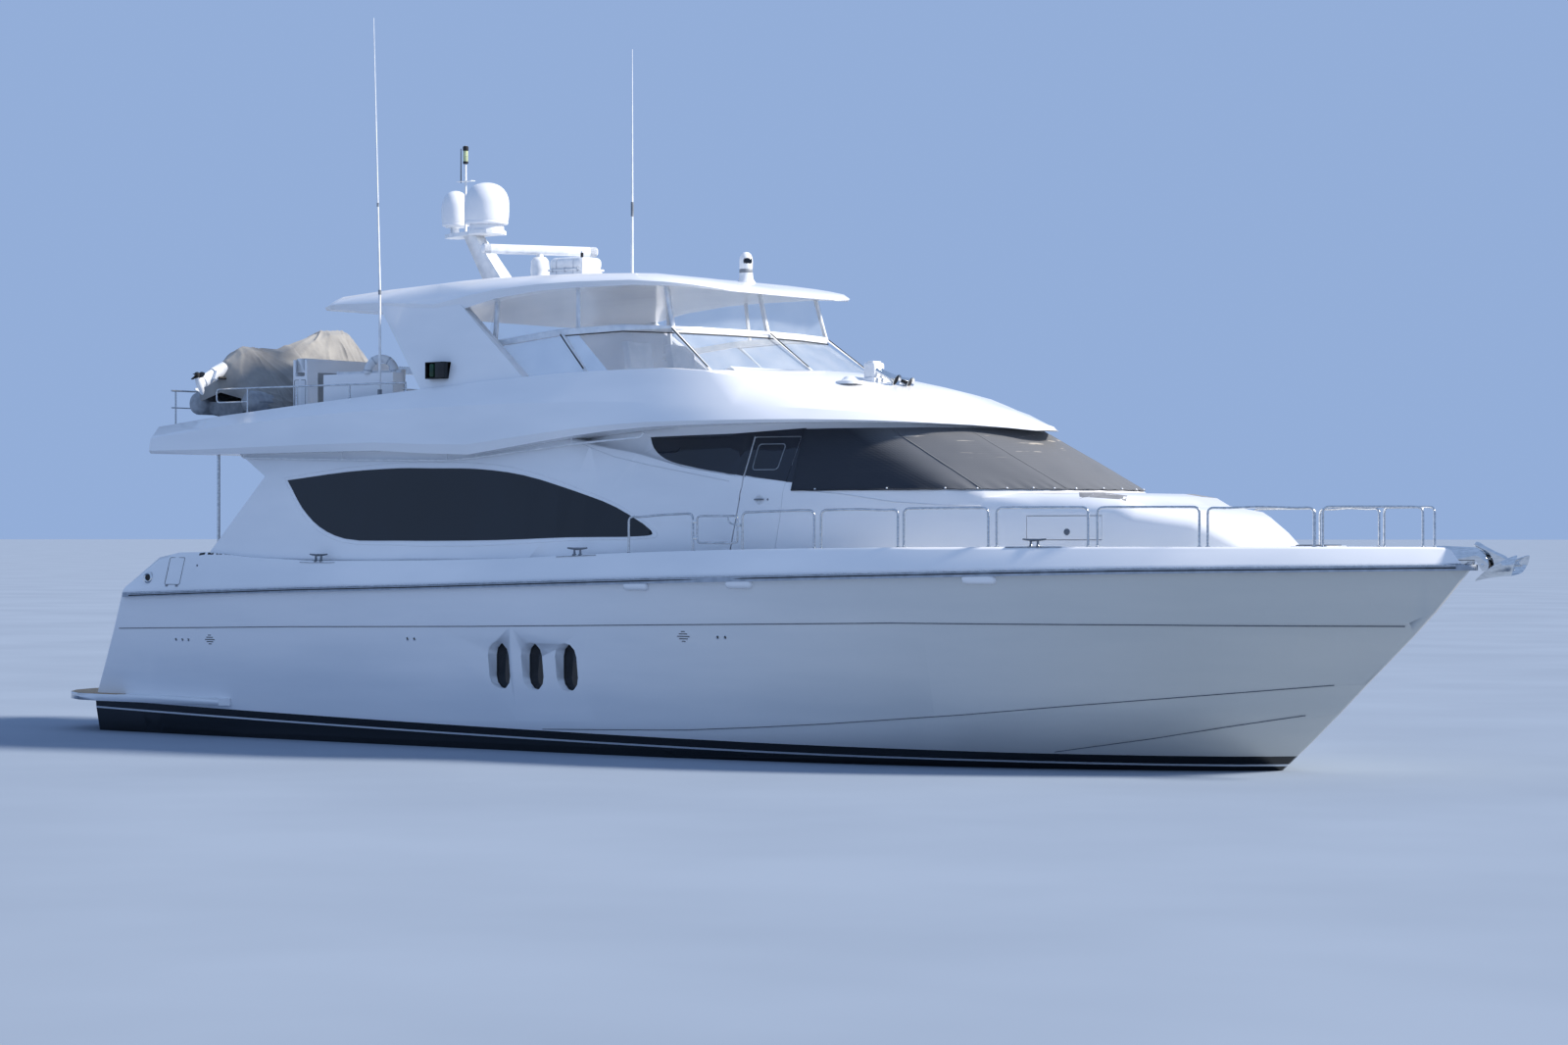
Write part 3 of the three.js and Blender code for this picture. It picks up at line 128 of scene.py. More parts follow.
def modify(piece, kind, **settings):
    # adds a modifier and applies it
    modifier = piece.modifiers.new(kind.lower(), kind)
    for name, value in settings.items():
        setattr(modifier, name, value)
    applyAll(piece)


def added(name, mesh):
    made = bpy.data.objects.new(name, mesh)
    bpy.context.scene.collection.objects.link(made)
    return made


def lay(shape, name):
    # a bmesh becomes a piece, its place in its mesh
    mesh = bpy.data.meshes.new(name)
    shape.to_mesh(mesh)
    shape.free()
    return added(name, mesh)


def outward(shape):
    bmesh.ops.remove_doubles(shape, verts=shape.verts, dist=1e-5)
    bmesh.ops.recalc_face_normals(shape, faces=shape.faces)


def fit(piece, finish, standsFor=(), angle=35, body="hull"):
    # a finished piece gets its finish, its shading and its body, and the solids it stands for are hidden
    piece.data.materials.clear()
    for made in finish if isinstance(finish, (list, tuple)) else [finish]:
        piece.data.materials.append(made)
    smooth(piece, angle)
    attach(piece, body)
    if standsFor:
        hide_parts(*standsFor)
    return piece


def fitShape(shape, name, finish, standsFor=(), angle=35, body="hull"):
    # a bmesh closed, turned outwards, laid down and fitted
    outward(shape)
    return fit(lay(shape, name), finish, standsFor, angle, body)


def welded(names, name):
    # one merged copy of solids, so that it can be shaded as a moulding
    shape = bmesh.new()
    for node in names:
        shape.from_mesh(nodes[node].data)
    bmesh.ops.remove_doubles(shape, verts=shape.verts, dist=0.0002)
    return lay(shape, name)


def curveOf(points, radius, steps=5):
    # a path with its corners rounded
    made = [Vector(points[0])]
    for before, corner, after in zip(points, points[1:], points[2:]):
        a, b, c = Vector(before), Vector(corner), Vector(after)
        reach = min(radius, (a - b).length * 0.48, (c - b).length * 0.48)
        start, end = b + (a - b).normalized() * reach, b + (c - b).normalized() * reach
        for i in range(steps + 1):
            t = i / steps
            made.append(start * (1 - t) ** 2 + b * 2 * t * (1 - t) + end * t * t)
    return made + [Vector(points[-1])]


def circle(side, up, sides):
    # directions all round a circle in the plane of side and up
    turns = [k * math.tau / sides for k in range(sides)]
    return [side * math.cos(a) + up * math.sin(a) for a in turns]


def sweep(shape, path, radius, sides=10, endRadius=None, across=1.0, closed=False):
    # a round bar or tube along a path; across flattens it
    path = [Vector(p) for p in path]
    count = len(path)
    along = []
    for i in range(count):
        before = path[i - 1] if i or closed else path[i]
        after = path[(i + 1) % count] if i < count - 1 or closed else path[i]
        along.append((after - before).normalized())
    side = along[0].orthogonal() if abs(along[0].z) > 0.95 else along[0].cross(Vector((0, 0, 1)))
    side = side.normalized()
    rings = []
    for i, point in enumerate(path):
        if i:
            side = (along[i - 1].rotation_difference(along[i]) @ side).normalized()
        up = along[i].cross(side)
        size = radius if endRadius is None else radius + (endRadius - radius) * i / (count - 1)
        rings.append([shape.verts.new(point + out * size) for out in circle(side * across, up, sides)])
    for i in range(count if closed else count - 1):
        low, high = rings[i], rings[(i + 1) % count]
        for k in range(sides):
            shape.faces.new((low[k], low[(k + 1) % sides], high[(k + 1) % sides], high[k]))
    if not closed:
        shape.faces.new(list(reversed(rings[0])))
        shape.faces.new(rings[-1])


def spun(shape, profile, centre, axis=(0, 0, 1), sides=24):
    # a turned form: profile is radius and height along the axis
    axis = Vector(axis).normalized()
    side = axis.orthogonal().normalized()
    up = axis.cross(side)
    centre = Vector(centre)
    rings = []
    for radius, height in profile:
        if radius < 1e-6:
            rings.append([shape.verts.new(centre + axis * height)])
            continue
        rings.append([shape.verts.new(centre + axis * height + out * radius) for out in circle(side, up, sides)])
    for low, high in zip(rings, rings[1:]):
        for k in range(sides):
            n = (k + 1) % sides
            if len(low) == 1 and len(high) == 1:
                break
            if len(low) == 1:
                shape.faces.new((low[0], high[k], high[n])[::-1])
            elif len(high) == 1:
                shape.faces.new((low[k], low[n], high[0]))
            else:
                shape.faces.new((low[k], low[n], high[n], high[k]))


def block(shape, low, high, bevel=0.0, segments=2, turn=None):
    # a box with its edges rounded; turn is a matrix
    low, high = Vector(low), Vector(high)
    made = bmesh.ops.create_cube(shape, size=1)["verts"]
    for vert in made:
        vert.co = Vector((low[k] + (vert.co[k] + 0.5) * (high[k] - low[k]) for k in range(3)))
    if bevel:
        edges = list({edge for vert in made for edge in vert.link_edges})
        rounded = bmesh.ops.bevel(shape, geom=edges, offset=bevel, segments=segments, profile=0.5, affect="EDGES")
        made = list({v for f in rounded["faces"] for v in f.verts} | {v for v in made if v.is_valid})
    if turn is not None:
        bmesh.ops.transform(shape, matrix=turn, verts=made)
    return made


def about(centre, degrees, axis):
    centre = Vector(centre)
    return Matrix.Translation(centre) @ Matrix.Rotation(math.radians(degrees), 4, axis) @ Matrix.Translation(-centre)


def cubeAt(low, high, bevel=0.0, segments=3):
    # a cube primitive at its size and place, its edges rounded
    deselect()
    low, high = Vector(low), Vector(high)
    bpy.ops.mesh.primitive_cube_add(size=1, location=(low + high) / 2)
    made = bpy.context.object
    made.scale = high - low
    bpy.ops.object.transform_apply(location=True, rotation=True, scale=True)
    if bevel:
        modify(made, "BEVEL", width=bevel, segments=segments)
    return made


def tubeAt(centre, radius, depth, bevel=0.0, turn=(0, 0, 0), sides=32):
    # a cylinder primitive at its size and place, its rims rounded
    deselect()
    bpy.ops.mesh.primitive_cylinder_add(vertices=sides, radius=radius, depth=depth, location=centre, rotation=turn)
    bpy.ops.object.transform_apply(location=True, rotation=True, scale=True)
    made = bpy.context.object
    if bevel:
        modify(made, "BEVEL", width=bevel, segments=3, limit_method="ANGLE")
    return made


def inEdit(piece, *steps):
    # edit mode steps, each on the whole mesh
    pick(piece)
    bpy.ops.object.mode_set(mode="EDIT")
    for step, settings in steps:
        bpy.ops.mesh.select_all(action="SELECT")
        step(**settings)
    bpy.ops.object.mode_set(mode="OBJECT")


def shaped(points, thick, bevel=0.0):
    # a flat outline filled, pushed through by thick, its edges rounded
    deselect()
    mesh = bpy.data.meshes.new("plate")
    mesh.from_pydata([tuple(p) for p in points], [], [list(range(len(points)))])
    made = added("plate", mesh)
    inEdit(made, (bpy.ops.mesh.extrude_region_move, {"TRANSFORM_OT_translate": {"value": thick}}),
           (bpy.ops.mesh.normals_make_consistent, {"inside": False}))
    if bevel:
        modify(made, "BEVEL", width=bevel, segments=3, limit_method="ANGLE")
    return made


def turned(profile, centre, sides=32):
    # radius and height, spun about an upright axis
    deselect()
    x, y, z = centre
    mesh = bpy.data.meshes.new("turned")
    mesh.from_pydata([(x + r, y, z + h) for r, h in profile], [(k, k + 1) for k in range(len(profile) - 1)], [])
    made = added("turned", mesh)
    inEdit(made, (bpy.ops.mesh.spin, {"steps": sides, "angle": math.tau, "center": tuple(centre), "axis": (0, 0, 1)}),
           (bpy.ops.mesh.remove_doubles, {"threshold": 0.0001}),
           (bpy.ops.mesh.normals_make_consistent, {"inside": False}))
    return made


def joined(pieces, name):
    pick(pieces[0])
    for piece in pieces[1:]:
        piece.select_set(True)
    if len(pieces) > 1:
        bpy.ops.object.join()
    pieces[0].name = name
    return pieces[0]


def treeOf(meshes):
    # what a ray meets on these meshes
    shape = bmesh.new()
    for mesh in meshes:
        shape.from_mesh(mesh)
    tree = BVHTree.FromBMesh(shape)
    shape.free()
    return tree


def reader(*names):
    return treeOf([nodes[node].data for node in names])


def plumb(ground, x, y, z=9):
    # where a plumb line from this height meets the ground
    return ground.ray_cast(Vector((x, y, z)), Vector((0, 0, -1)))[0]


def panels(shape, grid):
    # rows of points become a sheet of faces
    for a, b in zip(grid, grid[1:]):
        for k in range(len(a) - 1):
            shape.faces.new((a[k], b[k], b[k + 1], a[k + 1]))


def along(table, x):
    # the value at x in a table of pairs, straight between its rows
    rows = sorted(table)
    if x <= rows[0][0]:
        return rows[0][1]
    for (x0, z0), (x1, z1) in zip(rows, rows[1:]):
        if x <= x1:
            return z0 + (z1 - z0) * (x - x0) / (x1 - x0)
    return rows[-1][1]


# camera: the photograph's own place and lens

camera = {"place": (32.257, -41.327, 3.10), "heading": 37.0, "tilt": 0.2394, "lens": 80.775}


def placeCamera():
    data = bpy.data.cameras.new("camera")
    data.lens = camera["lens"]
    data.sensor_width = 36
    data.clip_end = 9000
    made = added("camera", data)
    made.location = camera["place"]
    made.rotation_euler = (math.radians(90 + camera["tilt"]), 0, math.radians(camera["heading"]))
    bpy.context.scene.camera = made


placeCamera()
bpy.context.scene.view_settings.view_transform = "Standard"


# finishes

def newFinish(name, values):
    made = bpy.data.materials.new(name)
    made.use_nodes = True
    shader = made.node_tree.nodes["Principled BSDF"]
    for socket, value in values.items():
        shader.inputs[socket].default_value = value
    return made, made.node_tree, shader


def spread(ramp, rows):
    # the stops of a colour ramp, each a place and a colour
    elements = ramp.color_ramp.elements
    while len(elements) < len(rows):
        elements.new(0.5)
    for element, (spot, code) in zip(elements, rows):
        element.position = spot
        element.color = linear(code)


def mottle(tree, shader, pale, dark, size, stretch=(1, 1, 1), detail=3):
    # slow colour change of one surface, its spots about size metres across
    place = addNode(tree, "TexCoord").outputs["Object"]
    laid = stretched(tree, place, stretch)
    cloud = texture(tree, "Noise", {"Scale": 1 / size, "Detail": detail}, laid).outputs["Fac"]
    ramp = addNode(tree, "ValToRGB", links={"Fac": cloud})
    spread(ramp, [(0.35, dark), (0.65, pale)])
    tree.links.new(ramp.outputs[0], shader.inputs["Base Color"])
    return place, cloud, ramp


def maths(tree, kind, a, b):
    # two values joined by one operation; each is a socket or a number
    settings = {k: v for k, v in enumerate((a, b)) if isinstance(v, (int, float))}
    links = {k: v for k, v in enumerate((a, b)) if k not in settings}
    return addNode(tree, "Math", {"operation": kind, **settings}, links).outputs[0]


def ripple(tree, shader, source, strength, depth):
    bump = addNode(tree, "Bump", {"Strength": strength, "Distance": depth}, {"Height": source})
    tree.links.new(bump.outputs[0], shader.inputs["Normal"])
    return bump


def sheenOf(tree, shader, source, low, high):
    span = addNode(tree, "MapRange", {"To Min": low, "To Max": high}, {"Value": source})
    tree.links.new(span.outputs[0], shader.inputs["Roughness"])


def gelcoatFinish(name, pale, dark, rough=(0.16, 0.3), orange=0.0004):
    # sprayed and polished gelcoat: white with a faint cloud, a soft gloss and a very fine orange peel
    made, tree, shader = newFinish(name, {"IOR": 1.5, "Coat Weight": 0.35, "Coat Roughness": 0.08})
    place, cloud = mottle(tree, shader, pale, dark, 1.6, stretch=(0.5, 1, 1.6))[:2]
    peel = texture(tree, "Noise", {"Scale": 55, "Detail": 2}, place)
    ripple(tree, shader, peel.outputs["Fac"], 0.25, orange)
    sheenOf(tree, shader, cloud, *rough)
    return made


gelcoat = gelcoatFinish("polished white gelcoat", "#f6f7f9", "#e9ecf0")
# a greyer gelcoat that stands for shade: painted shade in the latch cups, along the styling lines and on the davit's
# door
paintedShadeGelcoat = gelcoatFinish("gelcoat darkened as painted shade", "#e9ebee", "#d9dde2", rough=(0.35, 0.5))
domePlastic = gelcoatFinish("painted glass fibre dome", "#f2f4f7", "#e3e7ec", rough=(0.3, 0.4), orange=0.0002)


boot = {
    "curve": (-4.58285557e-06, 4.31047677e-04, -1.40037189e-02, 2.98714458e-01),  # top of the black band, cubic in x
    "bands": [(0.0, "#0d1013"), (0.40, "#dfe4ea"), (0.465, "#08090c"), (0.75, "#eef1f5")],
}


def hullFinish():
    # sprayed hull gelcoat over a painted boot top: white topsides with slow runs, darkened and warmed towards the bow
    # as a painted dark reflection, a black band with a fine white line, and matt black antifouling below it
    made, tree, shader = newFinish("painted hull", {"IOR": 1.5, "Coat Weight": 0.4, "Coat Roughness": 0.06})
    place, cloud, white = mottle(tree, shader, "#f1f3f6", "#e6eaef", 1.1, stretch=(0.25, 0.25, 1.8), detail=5)
    apart = addNode(tree, "SeparateXYZ", links={0: place})
    level = maths(tree, "MULTIPLY", apart.outputs["X"], boot["curve"][0])
    for factor in boot["curve"][1:-1]:
        level = maths(tree, "MULTIPLY", maths(tree, "ADD", level, factor), apart.outputs["X"])
    above = maths(tree, "SUBTRACT", apart.outputs["Z"], maths(tree, "ADD", level, boot["curve"][-1]))
    bands = addNode(tree, "ValToRGB", links={"Fac": ranged(tree, above, -0.3, 0.1)})
    bands.color_ramp.interpolation = "CONSTANT"
    spread(bands, boot["bands"])
    # painted reflection: the white is multiplied towards a darker, warmer tone from x = -1 to the bow
    paintedBowReflection = addNode(tree, "Mix", {"data_type": "RGBA", "blend_type": "MULTIPLY", 7: linear("#d9d6cc")},
                      {"Factor": ranged(tree, apart.outputs["X"], -1.0, 9.0), 6: white.outputs[0]})
    coat = addNode(tree, "Mix", {"data_type": "RGBA"},
                   {"Factor": maths(tree, "GREATER_THAN", above, 0.0), 6: bands.outputs[0], 7: paintedBowReflection.outputs[2]})
    tree.links.new(coat.outputs[2], shader.inputs["Base Color"])
    fair = texture(tree, "Noise", {"Scale": 0.9, "Detail": 1}, place)
    ripple(tree, shader, fair.outputs["Fac"], 0.12, 0.012)
    sheenOf(tree, shader, cloud, 0.14, 0.24)
    return made


hullPaint = hullFinish()


def glassFinish(name, pale, dark):
    # tinted float glass: near black, with a clean sharp reflection and a slightly paler haze where film lies on it
    made, tree, shader = newFinish(name, {"IOR": 1.5, "Coat Weight": 0.2, "Coat Roughness": 0.02})
    cloud = mottle(tree, shader, pale, dark, 0.9, stretch=(1, 1, 0.6))[1]
    sheenOf(tree, shader, cloud, 0.04, 0.09)
    return made


saloonGlass = glassFinish("tinted saloon glass", "#08121d", "#050c15")
houseGlass = glassFinish("tinted pilothouse glass", "#101a2a", "#0a111c")


def metalFinish(name, pale, dark, low, high, grain=0.02):
    # polished stainless: bright, with fine long polishing lines
    made, tree, shader = newFinish(name, {"Metallic": 1.0})
    cloud = mottle(tree, shader, pale, dark, grain, stretch=(0.2, 1, 1))[1]
    sheenOf(tree, shader, cloud, low, high)
    return made


steel = metalFinish("polished stainless tube", "#d9dcdf", "#b4b9be", 0.12, 0.26)
chrome = metalFinish("chromed brass", "#e6e8ea", "#cfd3d6", 0.05, 0.12)
# stainless for cleats and latches, its dark tone a painted dark reflection of the surroundings
deckMetal = metalFinish("stainless darkened as painted reflection", "#868b92", "#5f656c", 0.2, 0.34, grain=0.2)
bronze = metalFinish("cast bronze running gear", "#b08a4f", "#7f6236", 0.3, 0.5, grain=0.08)


def plasticFinish(name, pale, dark, low=0.4, high=0.6, size=0.12, relief=0.0004):
    # moulded plastic or rubber: even, with a light skin texture
    made, tree, shader = newFinish(name, {"IOR": 1.5})
    place, cloud = mottle(tree, shader, pale, dark, size)[:2]
    skin = texture(tree, "Noise", {"Scale": 160, "Detail": 2}, place)
    ripple(tree, shader, skin.outputs["Fac"], 0.3, relief)
    sheenOf(tree, shader, cloud, low, high)
    return made


strapWeb = plasticFinish("pale polyester webbing", "#c3c9d1", "#aab1ba", low=0.6, high=0.8, size=0.02)
rubber = plasticFinish("extruded grey fender", "#aeb7c3", "#97a1ae")
# dark grey for the seam round the davit's door, and for painted shadow lines under the hull's moulding steps
seamAndShadowGrey = plasticFinish("seam gap and painted shadow line grey", "#4a5564", "#3b4552")
blackPlastic = plasticFinish("black nylon", "#1b1d20", "#0e0f11")
greyPlastic = plasticFinish("grey moulded plastic", "#8c9299", "#737980")
whitePlastic = plasticFinish("white polyurethane enamel", "#f1f3f5", "#dfe3e7", low=0.25, high=0.4)
bottomPaint = plasticFinish("rolled antifouling", "#16181b", "#0d0f11", low=0.7, high=0.9, relief=0.0015)
nonSkid = plasticFinish("grey non-skid paint", "#8f9093", "#7f8184", low=0.7, high=0.85, relief=0.0015)
hypalon = plasticFinish("grey coated tube fabric", "#9aa0a8", "#82888f", low=0.5, high=0.65)
greenGlass = plasticFinish("green lamp glass", "#0e4a2c", "#0a3520", low=0.08, high=0.15)
lampGlass = plasticFinish("pale lamp glass", "#c7d0a4", "#aab58a", low=0.08, high=0.15)


def teakFinish():
    # scrubbed teak, laid in 50 mm planks with 5 mm black seams: silvery brown, each plank a little different
    made, tree, shader = newFinish("scrubbed teak deck", {"IOR": 1.45})
    place = addNode(tree, "TexCoord").outputs["Object"]
    apart = addNode(tree, "SeparateXYZ", links={0: place})
    plank = maths(tree, "DIVIDE", apart.outputs["Y"], 0.055)
    number = addNode(tree, "Math", {"operation": "FLOOR"}, {0: plank})
    spot = addNode(tree, "Math", {"operation": "FRACT"}, {0: plank})
    seam = maths(tree, "LESS_THAN", spot.outputs[0], 0.1)
    tone = addNode(tree, "TexWhiteNoise", {"noise_dimensions": "1D"}, {"W": number.outputs[0]})
    grain = texture(tree, "Noise", {"Scale": 3, "Detail": 6}, stretched(tree, place, (1.2, 26, 26)))
    both = addNode(tree, "Math", {"operation": "MULTIPLY_ADD", 1: 0.35},
                   {0: tone.outputs["Value"], 2: grain.outputs["Fac"]})
    wood = addNode(tree, "ValToRGB", links={"Fac": both.outputs[0]})
    spread(wood, [(0.3, "#8a6a4a"), (0.95, "#c4a884")])
    laid = addNode(tree, "Mix", {"data_type": "RGBA", 7: linear("#17161a")}, {"Factor": seam, 6: wood.outputs[0]})
    tree.links.new(laid.outputs[2], shader.inputs["Base Color"])
    ripple(tree, shader, grain.outputs["Fac"], 0.3, 0.001)
    sheenOf(tree, shader, grain.outputs["Fac"], 0.55, 0.75)
    return made


teak = teakFinish()


def clothFinish(name, pale, dark, thread, sheen):
    # woven cloth: a fine crossing weave, drawn coarse enough to show, with sun-bleached patches
    made, tree, shader = newFinish(name, {"IOR": 1.45, "Sheen Weight": sheen, "Sheen Roughness": 0.5})
    place, cloud = mottle(tree, shader, pale, dark, 0.5, detail=5)[:2]
    weave = 0.0
    for direction in ("X", "Z", "Y"):
        line = addNode(tree, "TexWave", {"bands_direction": direction, "Scale": 1 / thread / 6.28, "Distortion": 0.3},
                       {"Vector": place})
        weave = maths(tree, "ADD", line.outputs["Fac"], weave)
    ripple(tree, shader, weave, 0.35, thread * 0.3)
    sheenOf(tree, shader, cloud, 0.75, 0.9)
    return made


tenderCloth = clothFinish("acrylic boat cover canvas", "#9a9996", "#7f7f7f", 0.008, 0.2)
vinyl = plasticFinish("stitched white vinyl", "#e8eaec", "#d6dadf", low=0.4, high=0.55, relief=0.0008)


satinAlloy = plasticFinish("powder coated frame", "#f0f3f6", "#dde2e8", low=0.25, high=0.4)


def sideDeck():
    # moulded deck with a stippled non-skid tread: small raised dots that catch the light
    made, tree, shader = newFinish("stippled non-skid deck", {"IOR": 1.48})
    place, cloud = mottle(tree, shader, "#e6e9ec", "#d5dade", 0.7)[:2]
    dots = texture(tree, "Voronoi", {"Scale": 90}, place)
    ripple(tree, shader, dots.outputs["Distance"], 0.5, 0.0015)
    sheenOf(tree, shader, cloud, 0.5, 0.7)
    return made


sideDeckFinish = sideDeck()


def coverFinish():
    # black mesh laced over the windscreen: dark and even on its sides, paler grey over its front as painted sunlight,
    # with pale level crease marks near the top, drawn only on that painted sunlit front; the weave is drawn 12 mm wide
    # so that it shows
    made, tree, shader = newFinish("mesh cover with painted sunlit front",
                                   {"IOR": 1.45, "Sheen Weight": 0.1, "Sheen Roughness": 0.5})
    place = addNode(tree, "TexCoord").outputs["Object"]
    apart = addNode(tree, "SeparateXYZ", links={0: place})
    front = addNode(tree, "Math", {"operation": "MULTIPLY_ADD", 1: 1.891},
                    {0: apart.outputs["Z"], 2: apart.outputs["X"]})
    cloud = texture(tree, "Noise", {"Scale": 1.7, "Detail": 6}, place).outputs["Fac"]
    # lit is 1 over the front, past a slanting plane, where the sun falls: the paler tone there is painted sunlight
    lit = ranged(tree, front.outputs[0], 12.34, 12.86)
    patchy = addNode(tree, "Math", {"operation": "MULTIPLY_ADD", 1: 0.35, 2: 0.82}, {0: cloud})
    tone = addNode(tree, "ValToRGB", links={"Fac": maths(tree, "MULTIPLY", lit, patchy.outputs[0])})
    spread(tone, [(0.0, "#262c36"), (1.0, "#62656a")])
    crease = texture(tree, "Noise", {"Scale": 1.0, "Detail": 3}, stretched(tree, place, (1.6, 1.6, 34)))
    thin = ranged(tree, crease.outputs["Fac"], 0.66, 0.70)
    # the crease marks are multiplied by lit, so they show only inside the painted sunlight
    mark = maths(tree, "MULTIPLY", maths(tree, "MULTIPLY", thin, ranged(tree, apart.outputs["Z"], 4.15, 4.3)), lit)
    paintedSunAndCreases = addNode(tree, "Mix", {"data_type": "RGBA", 7: linear("#a9a49c")}, {"Factor": mark, 6: tone.outputs[0]})
    tree.links.new(paintedSunAndCreases.outputs[2], shader.inputs["Base Color"])
    across, upward = [addNode(tree, "TexWave", {"bands_direction": way, "Scale": 13.0, "Distortion": 0.4},
                              {"Vector": place}) for way in ("Y", "Z")]
    ripple(tree, shader, maths(tree, "ADD", across.outputs["Fac"], upward.outputs["Fac"]), 0.3, 0.002)
    sheenOf(tree, shader, cloud, 0.6, 0.8)
    return made


coverMesh = coverFinish()


def clearFinish():
    # clear vinyl enclosure: mostly see-through, with a bright sharp reflection and faint haze
    made, tree, shader = newFinish("clear enclosure vinyl", {"IOR": 1.3, "Alpha": 0.09})
    cloud = mottle(tree, shader, "#dfe8f2", "#bccbdc", 0.4)[1]
    sheenOf(tree, shader, cloud, 0.04, 0.12)
    return made


clearVinyl = clearFinish()
tintedScreen = clearFinish()
tintedScreen.name = "smoked acrylic screen"
tintedScreen.node_tree.nodes["Principled BSDF"].inputs["Alpha"].default_value = 0.2
print("finishes made")


# light and floor

stage = {"floor": 4000, "sun": (0.70, 0.42, 0.57), "sunPower": 6.2, "sunSpread": 9, "sky": "#a8c6f6",
         "skyPower": 0.75}


def makeStage():
    bpy.ops.mesh.primitive_plane_add(size=stage["floor"] * 2, location=(0, 0, 0))
    floor = bpy.context.object
    floor.name = "studio_floor"
    made, tree, shader = newFinish("pale studio floor", {"Roughness": 0.9, "Specular IOR Level": 0.1})
    mottle(tree, shader, "#8f9cad", "#8996a7", 6)
    floor.data.materials.append(made)
    sun = bpy.data.lights.new("sun", "SUN")
    sun.energy = stage["sunPower"]
    sun.angle = math.radians(stage["sunSpread"])
    sun.color = linear("#fff6ea")[:3]
    added("sun", sun).rotation_euler = Vector(stage["sun"]).to_track_quat("Z", "Y").to_euler()
    world = bpy.data.worlds.new("sky")
    bpy.context.scene.world = world
    world.use_nodes = True
    backing = world.node_tree.nodes["Background"]
    backing.inputs["Color"].default_value = linear(stage["sky"])
    backing.inputs["Strength"].default_value = stage["skyPower"]


makeStage()


# hull: one fair skin from the solids that it is split into

fair = {"x": (-2.75, 0.55), "z": (0.5, 1.76), "within": 0.004}


def fairShading(piece):
    # round the portlights the shading follows a fair curve through the sound plating on either side
    mesh = piece.data
    corners = [corner.vector.copy() for corner in mesh.corner_normals]
    tree = treeOf([mesh])
    for side in (-1, 1):
        rows, held = [], []
        for x in (-2.7, -2.4, -2.15, 0.0, 0.3, 0.5):
            for z in (0.55, 0.8, 1.05, 1.3, 1.5, 1.7):
                hit = tree.ray_cast(Vector((x, side * 6, z)), Vector((0, -side, 0)))[0]
                rows.append([1, x, z, x * x, x * z, z * z])
                held.append(abs(hit.y))
        b = numpy.linalg.lstsq(numpy.array(rows), numpy.array(held), rcond=None)[0]
        for face in mesh.polygons:
            spots = [mesh.vertices[v].co for v in face.vertices]
            off = [abs(abs(p.y) - float(b @ [1, p.x, p.z, p.x ** 2, p.x * p.z, p.z ** 2])) for p in spots]
            if max(off) > fair["within"] or any(p.y * side < 0 for p in spots):
                continue
            for loop, p in zip(face.loop_indices, spots):
                if fair["x"][0] < p.x < fair["x"][1] and fair["z"][0] < p.z < fair["z"][1] + 0.1:
                    slopeX = float(b[1] + 2 * b[3] * p.x + b[4] * p.z)
                    slopeZ = float(b[2] + b[4] * p.x + 2 * b[5] * p.z)
                    corners[loop] = Vector((-slopeX, side, -slopeZ)).normalized()
    mesh.normals_split_custom_set(corners)


def hullSkin():
    body = welded(["hull"], "hull_skin")
    for other in ("hull_topsides", "hull_stern"):
        part = welded([other], other + "_part")
        lower = treeOf([body.data])
        for vert in part.data.vertices:
            near, normal, face, distance = lower.find_nearest(vert.co, 0.0012)
            if near:
                vert.co += (near - vert.co).normalized() * (distance + 0.0008) if distance > 1e-7 else -normal * 0.0008
        modify(body, "BOOLEAN", operation="UNION", solver="MANIFOLD", object=part)
        bpy.data.objects.remove(part)
    even = body.modifiers.new("even", "WEIGHTED_NORMAL")
    even.keep_sharp = True
    fit(body, hullPaint, ["hull", "hull_topsides", "hull_stern"], angle=24)
    applyAll(body)
    fairShading(body)
    return body


hullSkin()
print("hull skinned")

skins = {  # finish and shading angle of each solid, or of each pair of solids
    "keel": (bottomPaint, 30), "deck_moulding": (gelcoat, 32), "main_deck": (sideDeckFinish, 30),
    "transom_seat": (gelcoat, 35), "rub_rail": (rubber, 40), "swim_platform": (gelcoat, 35),
    "deckhouse": (gelcoat, 30), "flybridge": (gelcoat, 21), "hardtop": (gelcoat, 30), "arch_leg": (gelcoat, 30),
    "flybridge_windscreen": (tintedScreen, 20), "flybridge_frame": (satinAlloy, 30), "helm_console": (gelcoat, 30),
    "flybridge_settee": (gelcoat, 30), "mast": (whitePlastic, 35), "davit_column": (gelcoat, 35),
    "davit_boom": (gelcoat, 35), "davit_extension": (steel, 35), "windscreen": (houseGlass, 25),
    "saloon_window": (saloonGlass, 25), "pilothouse_window": (houseGlass, 25), "side_door": (gelcoat, 30),
    "locker_lid": (gelcoat, 30), "saloon_door": (saloonGlass, 30), "saloon_door_pane": (saloonGlass, 30),
    "transom_gate": (gelcoat, 35), "overhang_pole": (steel, 50), "shaft": (bronze, 40), "propeller": (bronze, 40),
    "rudder": (bronze, 40),
}
bodyOf = {node: body for body, held in frame["record"]["behaviour"]["bodies"].items() for node in held}
# the hardtop, and the frame's posts under it, spring up a little towards the front edge
springOf = {"from": -2.5, "to": 0.3, "rise": 0.09, "above": {"hardtop": 6.0, "flybridge_frame": 6.4}}


def spring(x):
    t = min(max((x - springOf["from"]) / (springOf["to"] - springOf["from"]), 0), 1)
    return springOf["rise"] * t * t * (3 - 2 * t)


def sprung(piece, above):
    for vert in piece.data.vertices:
        if vert.co.z > above:
            vert.co.z += spring(vert.co.x)


